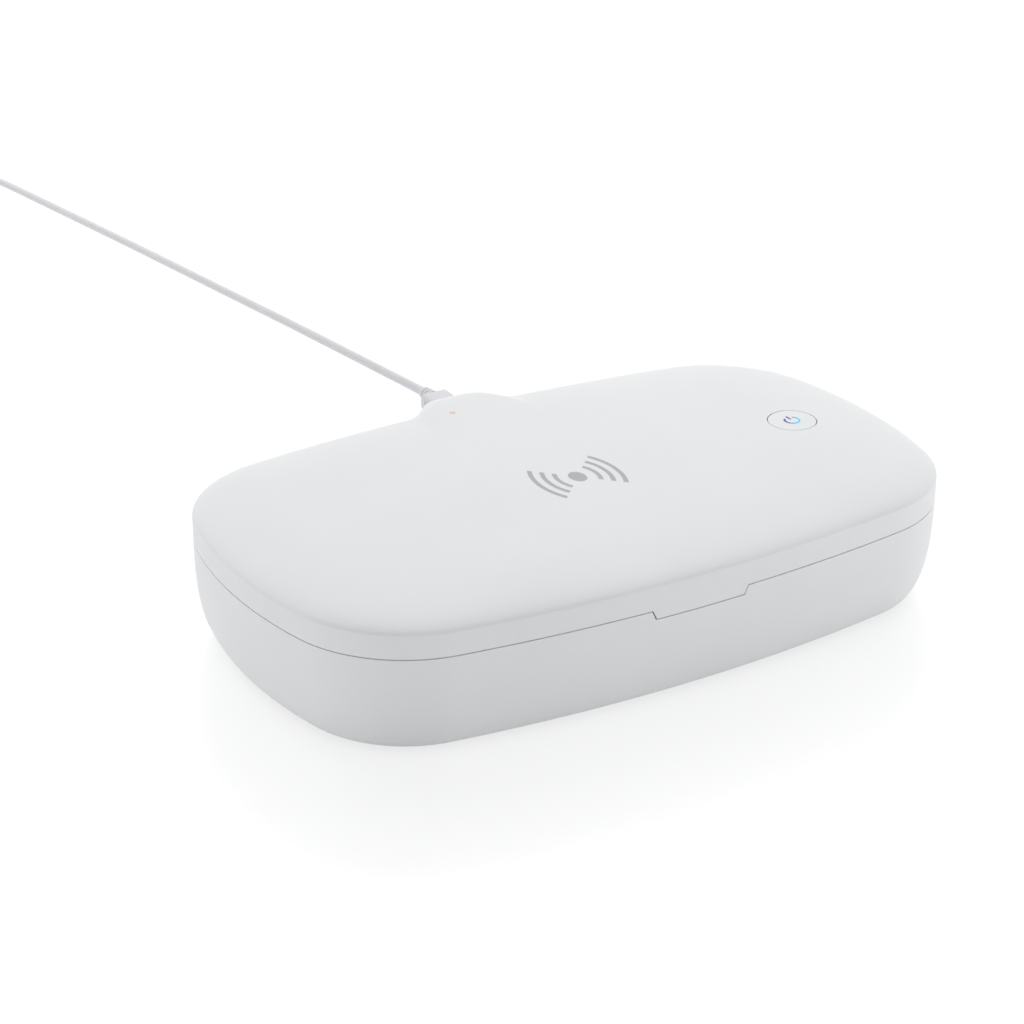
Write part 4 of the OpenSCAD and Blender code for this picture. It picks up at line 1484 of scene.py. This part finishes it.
@dataclass
class Lead:
    """The charging lead, from the plug at the box to the supply plug, with its put-away coil."""

    radius: float = 1.35
    start: Triple = (0, 85.9, 35.0)
    route: tuple[Triple, ...] = (
        (0, 92.9, 34.4),
        (-0.6, 125, 31.9),
        (-2, 172, 28.5),
        (-3.3, 213, 25.3),
        (-6, 275, 21),
        (-9, 340, 16.3),
        (-11.4, 405, 10.8),
        (-13.2, 440, 6),
        (-13.6, 462, 2.75),
        (-13.6, 472, 2.25),
        (-13.6, 478, 2.25),
    )
    coil: Triple = (-34, 478, 2.25)
    coil_r: float = 20.4
    step: float = 3.2
    turns: float = 5.5
    grip_low: Triple = (-4.8, 72.9, 32.3)
    grip_high: Triple = (4.8, 79.4, 37.7)
    supply_y: float = 454.0
    supply_z: float = 4.0
    supply_half: float = 8.0
    shell_size: Triple = (12.0, 12.0, 4.5)

    def curve_through(self, knots: Sequence[Vector], step: float) -> list[Vector]:
        """Draws one smooth line through points.

        Args:
            knots: The points, in drawn millimetres.
            step: Distance from point to point on the line.

        Returns:
            The line's points.
        """
        line = []
        last = len(knots) - 1
        for i in range(last):
            p0, p1, p2, p3 = (knots[min(max(k, 0), last)] for k in range(i - 1, i + 3))
            bend = 2 * p0 - 5 * p1 + 4 * p2 - p3
            twist = 3 * p1 - p0 - 3 * p2 + p3
            count = max(1, round((p2 - p1).length / step))
            for j in range(count):
                t = j / count
                line.append(0.5 * (2 * p1 + (p2 - p0) * t + bend * t * t + twist * t**3))
        return [*line, knots[-1]]

    def wound(self, t: float) -> Vector:
        """Gives a point of the coil, which spirals in on the table and out on top.

        Args:
            t: Turns from its start.

        Returns:
            The point, in drawn millimetres.
        """
        half = self.turns / 2
        reach = self.coil_r - self.step * (half - abs(t - half))
        climb = min(1.0, max(0.0, (t - half + 0.25) / 0.5))
        rise = self.step * (0.5 - 0.5 * math.cos(math.pi * climb))
        x, y, z = self.coil
        return Vector((x + reach * math.cos(math.tau * t), y + reach * math.sin(math.tau * t), z + rise))

    def path(self) -> list[Vector]:
        """Puts the whole centreline together.

        Returns:
            Its points, in drawn millimetres.
        """
        free = self.curve_through([Vector(self.start), *(Vector(p) for p in self.route)], 5.0)
        coil = [self.wound(i / 28) for i in range(1, round(self.turns * 28) + 1)]
        end = coil[-1]
        middle = Vector((end.x - 0.5, end.y - 12, (end.z + self.supply_z) / 2))
        plug = Vector((end.x, self.supply_y, self.supply_z))
        tail = [end, end - BACKWARDS * 4, middle, plug + BACKWARDS * 4, plug]
        return [*free, *coil, *self.curve_through(tail, 3.0)[1:]]

    def cord(self) -> Piece:
        """Returns:
            The lead.
        """
        points = [place(*p) for p in self.path()]
        line = bpy.data.curves.new("charging_lead", "CURVE")
        line.dimensions = "3D"
        line.bevel_depth = self.radius * MM
        line.bevel_resolution = 5
        line.use_fill_caps = True
        spline = line.splines.new("POLY")
        spline.points.add(len(points) - 1)
        for knot, point in zip(spline.points, points):
            knot.co = (*point, 1)
        piece = bpy.data.objects.new("charging_lead", line)
        bpy.context.scene.collection.objects.link(piece)
        choose(piece)
        bpy.ops.object.convert(target="MESH")
        piece = bpy.context.object
        with editing(piece):
            bpy.ops.mesh.select_all(action="SELECT")
            bpy.ops.mesh.remove_doubles(threshold=0.001 * MM)
            bpy.ops.mesh.normals_make_consistent(inside=False)
        choose(piece)
        bpy.ops.object.shade_smooth_by_angle(angle=math.radians(60))
        piece.data.materials.append(JACKET.make())
        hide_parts("cord_stretch", "cord_coil", "cord_tail")
        x, y, z = self.start
        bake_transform(piece, "lid", "base", start=place(x, y, z), end=place(x - 0.4, y + 32, z - 1.9))
        return piece

    def boot(self, name: str, spot: Vector, radii: Sequence[tuple[float, float]]) -> Piece:
        """Builds a ribbed strain relief, which points to the back, by extruding and narrowing its end.

        Args:
            name: The piece's name.
            spot: Middle of its wide end, in drawn millimetres.
            radii: Each step's length and the radius at its end.

        Returns:
            The strain relief.
        """
        first, radius = radii[0]
        piece = begin(
            name,
            Primitive.CYLINDER,
            vertices=40,
            radius=radius * MM,
            depth=first * MM,
            location=place(*(spot + BACKWARDS * first / 2)),
            rotation=(math.pi / 2, 0, 0),
        )
        with editing(piece):
            pick(Element.FACES, lambda _, way: way.y > 0.9)
            at = spot.y + first
            for length, wanted in radii[1:]:
                at += length
                pull(y=length * MM)
                share = wanted / radius
                bpy.ops.transform.resize(value=(share, 1, share), center_override=place(spot.x, at, spot.z))
                radius = wanted
        return piece

    def ribbed(self, wide: float, slim: float, length: float, ribs: int) -> list[tuple[float, float]]:
        """Lists the steps of a strain relief.

        Args:
            wide: Radius at its root.
            slim: Radius at its end.
            length: Its whole length.
            ribs: Number of its ribs.

        Returns:
            Each step's length and the radius at its end.
        """
        # a root and a tip of 0.6 mm each, and between them the ribs, each a groove and then its crest
        pitch = (length - 1.2) / ribs
        steps = [(0.6, wide)]
        for i in range(ribs):
            here = wide + (slim - wide) * (i + 1) / ribs
            steps += [(pitch * 0.12, here - 0.32), (pitch * 0.26, here - 0.34)]
            steps += [(pitch * 0.12, here), (pitch * 0.5, here)]
        return [*steps, (0.4, slim - 0.1), (0.2, slim - 0.35)]

    def box_plug(self) -> Piece:
        """Builds the plug at the box: a soft grip with finger grooves and its strain relief.

        Returns:
            The plug.
        """
        z = self.start[2]
        side_x = self.grip_high[0]
        grip = rounded_block("box_plug", Vector(self.grip_low), Vector(self.grip_high), BACKWARDS, 1.8, 7)
        for side in (-1, 1):
            for row in range(2):
                y = 75.0 + 1.6 * row
                low = Vector((side * side_x - 0.3, y, z - 1.2))
                high = Vector((side * side_x + 0.3, y + 0.7, z + 1.2))
                cut(grip, rounded_block("tool", low, high, SIDEWAYS, 0.3))
        soften(grip, 0.35, 3)
        cut(grip, self.boot("tool", Vector((0, 79.1, z)), self.ribbed(2.5, 2.0, 6.8, 3)), "UNION")
        return settle(grip, OVERMOULD, Body.LID, ["plug_body"])

    def supply_plug(self) -> list[Piece]:
        """Builds the supply plug: grip, strain relief, metal shell and its tongue.

        Returns:
            Its pieces.
        """
        x = self.coil[0] - self.coil_r
        z, half = self.supply_z, self.supply_half
        y1, y0 = self.supply_y - 6, self.supply_y - 30
        low, high = Vector((x - half, y0, 0)), Vector((x + half, y1, 2 * z))
        grip = rounded_block("supply_plug", low, high, BACKWARDS, 2.2, 6)
        for side in (-1, 1):
            for row in range(4):
                y = y0 + 7 + 2.4 * row
                low = Vector((x + side * half - 0.4, y, z - 2))
                high = Vector((x + side * half + 0.4, y + 1.1, z + 2))
                cut(grip, rounded_block("tool", low, high, SIDEWAYS, 0.5))
        soften(grip, 0.6, 3)
        cut(grip, self.boot("tool", Vector((x, y1 - 0.4, z)), self.ribbed(2.8, 2.0, 6.5, 3)), "UNION")
        settle(grip, OVERMOULD, Body.BASE, ["usb_a_body"])
        shell = block("supply_shell", place(x, y0 - 6, z), Vector(self.shell_size) * MM)
        with editing(shell):
            pick(Element.EDGES, lambda _, way: abs(way.y) > 0.9)
            bpy.ops.mesh.bevel(offset=0.5 * MM, segments=4)
            pick(Element.FACES, lambda _, way: way.y < -0.9)
            bpy.ops.mesh.inset(thickness=0.3 * MM, depth=0)
            pull(y=11 * MM)
        for side in (-1, 1):
            cut(shell, block("tool", place(x + side * 3, y0 - 6.5, 6.2), Vector((2.2, 2.4, 1.2)) * MM))
        soften(shell, 0.06, 1)
        settle(shell, STAMPED, Body.BASE, ["usb_a_shell"])
        low, high = Vector((x - 5.6, y0 - 11.4, 2.1)), Vector((x + 5.6, y0 - 1.1, 4.0))
        tongue = rounded_block("supply_tongue", low, high, BACKWARDS, 0.2, 2)
        settle(tongue, OVERMOULD, Body.BASE)
        return [grip, shell, tongue]

    def tie(self) -> Piece:
        """Builds the strap round the coil, a rounded band of even thickness.

        Returns:
            The strap.
        """
        low, high = (drawn(corner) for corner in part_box("coil_tie"))
        piece = rounded_block("coil_strap", low, high, SIDEWAYS, 1.4, 6)
        with editing(piece):
            pick(Element.FACES, lambda _, way: abs(way.x) > 0.9)
            bpy.ops.mesh.delete(type="FACE")
        modify(piece, "SOLIDIFY", thickness=0.8 * MM, offset=-1.0)
        soften(piece, 0.15)
        return settle(piece, STRAP, Body.BASE, ["coil_tie"])

    def build(self) -> None:
        """Builds the plugs and the tie, then the lead."""
        pieces = [self.box_plug(), *self.supply_plug(), self.tie(), frame["nodes"]["plug_shell"]]
        self.cord()


@dataclass
class Insides:
    """The solids whose shape is right: each keeps its mesh and takes a finish."""

    finishes: dict[Finish, tuple[str, ...]] = field(
        default_factory=lambda: {
            ZINC: (
                *(f"{kind}_screw_{corner}" for kind in ("base", "board") for corner in CORNERS),
                "hinge_pin",
            ),
            NICKEL: ("base_magnet_l", "base_magnet_r", "sensor_magnet", "lid_magnet_l", "lid_magnet_r"),
            BOARD: ("main_board",),
            EPOXY: ("controller_chip", "power_inductor", "lid_sensor", "tact_switch"),
            WIRE: ("charging_coil",),
            FERRITE: ("ferrite_sheet",),
            STAMPED: ("usb_receptacle", "plug_shell"),
            LED: ("indicator_led",),
            NYLON: ("switch_plunger",),
        }
    )

    def build(self) -> None:
        """Gives each solid its finish."""
        for finish, names in self.finishes.items():
            for name in names:
                node = frame["nodes"][name]
                node.data.materials.clear()
                node.data.materials.append(finish.make())
            log.info("%s: %s", finish.title, ", ".join(names))


@dataclass(frozen=True)
class PhotoCamera:
    """The camera at the photograph's place."""

    spot: Triple = (-0.39766, -0.61813, 0.37685)
    ahead: Triple = (0.50612074, 0.74491965, -0.43466828)
    lens: float = 98.945
    shift: tuple[float, float] = (-0.11418, 0.01835)
    roll: float = 1.6432

    def build(self) -> None:
        """Makes the camera and hands it to the scene."""
        bpy.ops.object.camera_add(location=self.spot)
        camera = bpy.context.object
        camera.name = "photo_camera"
        camera.rotation_mode = "QUATERNION"
        level = Vector(self.ahead).to_track_quat("-Z", "Y")
        camera.rotation_quaternion = level @ Quaternion((0, 0, 1), math.radians(self.roll))
        camera.data.sensor_width = 36.0
        camera.data.lens = self.lens
        camera.data.shift_x, camera.data.shift_y = self.shift
        camera.data.clip_start, camera.data.clip_end = 0.02, 60.0
        bpy.context.scene.camera = camera


@dataclass(frozen=True)
class Softbox:
    """One soft studio light, which glossy surfaces mirror or not."""

    name: str
    spot: Triple
    size: tuple[float, float]
    power: float
    mirrored: bool = True
    target: Triple = (0.0, 0.0, 0.02)

    def build(self) -> None:
        """Hangs the light and points it."""
        bpy.ops.object.light_add(type="AREA", location=self.spot)
        light = bpy.context.object
        light.name = self.name
        light.rotation_mode = "QUATERNION"
        light.rotation_quaternion = (Vector(self.target) - Vector(self.spot)).to_track_quat("-Z", "Y")
        light.data.shape = "RECTANGLE"
        light.data.size, light.data.size_y = self.size
        light.data.energy = self.power
        light.visible_glossy = self.mirrored


def seen(tree: Tree) -> Socket:
    """Tells the rays that show a surface from those that only carry its light.

    Args:
        tree: The tree that takes the nodes.

    Returns:
        One for a camera, glossy or transmission ray, and else nought.
    """
    ray = add_node(tree, "ShaderNodeLightPath").outputs
    shown = ray["Is Camera Ray"]
    for other in ("Is Glossy Ray", "Is Transmission Ray"):
        shown = add_node(tree, "ShaderNodeMath", {0: shown, 1: ray[other]}, operation="MAXIMUM").outputs[0]
    return shown


@dataclass
class Studio:
    """Floor, world and lights."""

    sky: float = 0.38
    mirror: float = 0.17
    paper: float = 0.865
    lights: tuple[Softbox, ...] = (
        Softbox("back_light", (0.0, 0.92, 0.92), (0.9, 0.9), 6.0, False),
        Softbox("key_light", (0.7, 0.59, 0.92), (0.9, 0.9), 5.7, False),
        Softbox("right_light", (0.97, -0.82, 0.27), (0.9, 0.5), 4.9),
        Softbox("left_light", (-1.25, 0.22, 0.27), (0.9, 0.5), 3.3),
        Softbox("front_light", (-0.67, -1.08, 0.27), (0.9, 0.5), 1.2),
    )

    def floor(self) -> None:
        """Lays the pale glossy floor, which shows white beside the box's reflection."""
        bpy.ops.mesh.primitive_plane_add(size=14.0, location=(0, 0, -0.0002))
        piece = bpy.context.object
        piece.name = "studio_floor"
        material = bpy.data.materials.new("acrylic sheet white")
        material.use_nodes = True
        tree = material.node_tree
        tree.nodes.clear()
        plain = add_node(tree, "ShaderNodeBsdfDiffuse", {"Color": linear("#F4F5F6")}).outputs[0]
        glow = {"Color": (1, 1, 1, 1), "Strength": self.paper}
        white = add_node(tree, "ShaderNodeEmission", glow).outputs[0]
        shade = add_node(tree, "ShaderNodeBsdfDiffuse", {"Color": (0.2, 0.2, 0.2, 1)}).outputs[0]
        lit = add_node(tree, "ShaderNodeAddShader", {0: white, 1: shade}).outputs[0]
        gloss = add_node(tree, "ShaderNodeBsdfGlossy", {"Color": (1, 1, 1, 1), "Roughness": 0.2}).outputs[0]
        bright = add_node(tree, "ShaderNodeMixShader", {0: self.mirror, 1: lit, 2: gloss}).outputs[0]
        mixed = add_node(tree, "ShaderNodeMixShader", {0: seen(tree), 1: plain, 2: bright}).outputs[0]
        add_node(tree, "ShaderNodeOutputMaterial", {"Surface": mixed})
        piece.data.materials.append(material)

    def world(self) -> None:
        """Makes the plain surroundings: white to the camera, softer as a light."""
        world = bpy.data.worlds.new("studio")
        bpy.context.scene.world = world
        world.use_nodes = True
        tree = world.node_tree
        tree.nodes.clear()
        light, white = (
            add_node(tree, "ShaderNodeBackground", {"Color": (1, 1, 1, 1), "Strength": level}).outputs[0]
            for level in (self.sky, 1.0)
        )
        mixed = add_node(tree, "ShaderNodeMixShader", {0: seen(tree), 1: light, 2: white}).outputs[0]
        add_node(tree, "ShaderNodeOutputWorld", {"Surface": mixed})

    def build(self) -> None:
        """Sets up the studio."""
        deselect()
        self.floor()
        self.world()
        for light in self.lights:
            light.build()
        bpy.context.scene.view_settings.view_transform = "Standard"


def main() -> None:
    """Builds the box, its lead and the studio, in order."""
    logging.basicConfig(level=logging.INFO, format="%(message)s", stream=sys.stdout)
    deselect()
    PhotoCamera().build()
    Lead().build()
    BaseAssembly().build()
    LidAssembly().build()
    Hinge().build()
    ChargingMark().build()
    PowerButton().build()
    Insides().build()
    Studio().build()


if __name__ == "__main__":
    main()
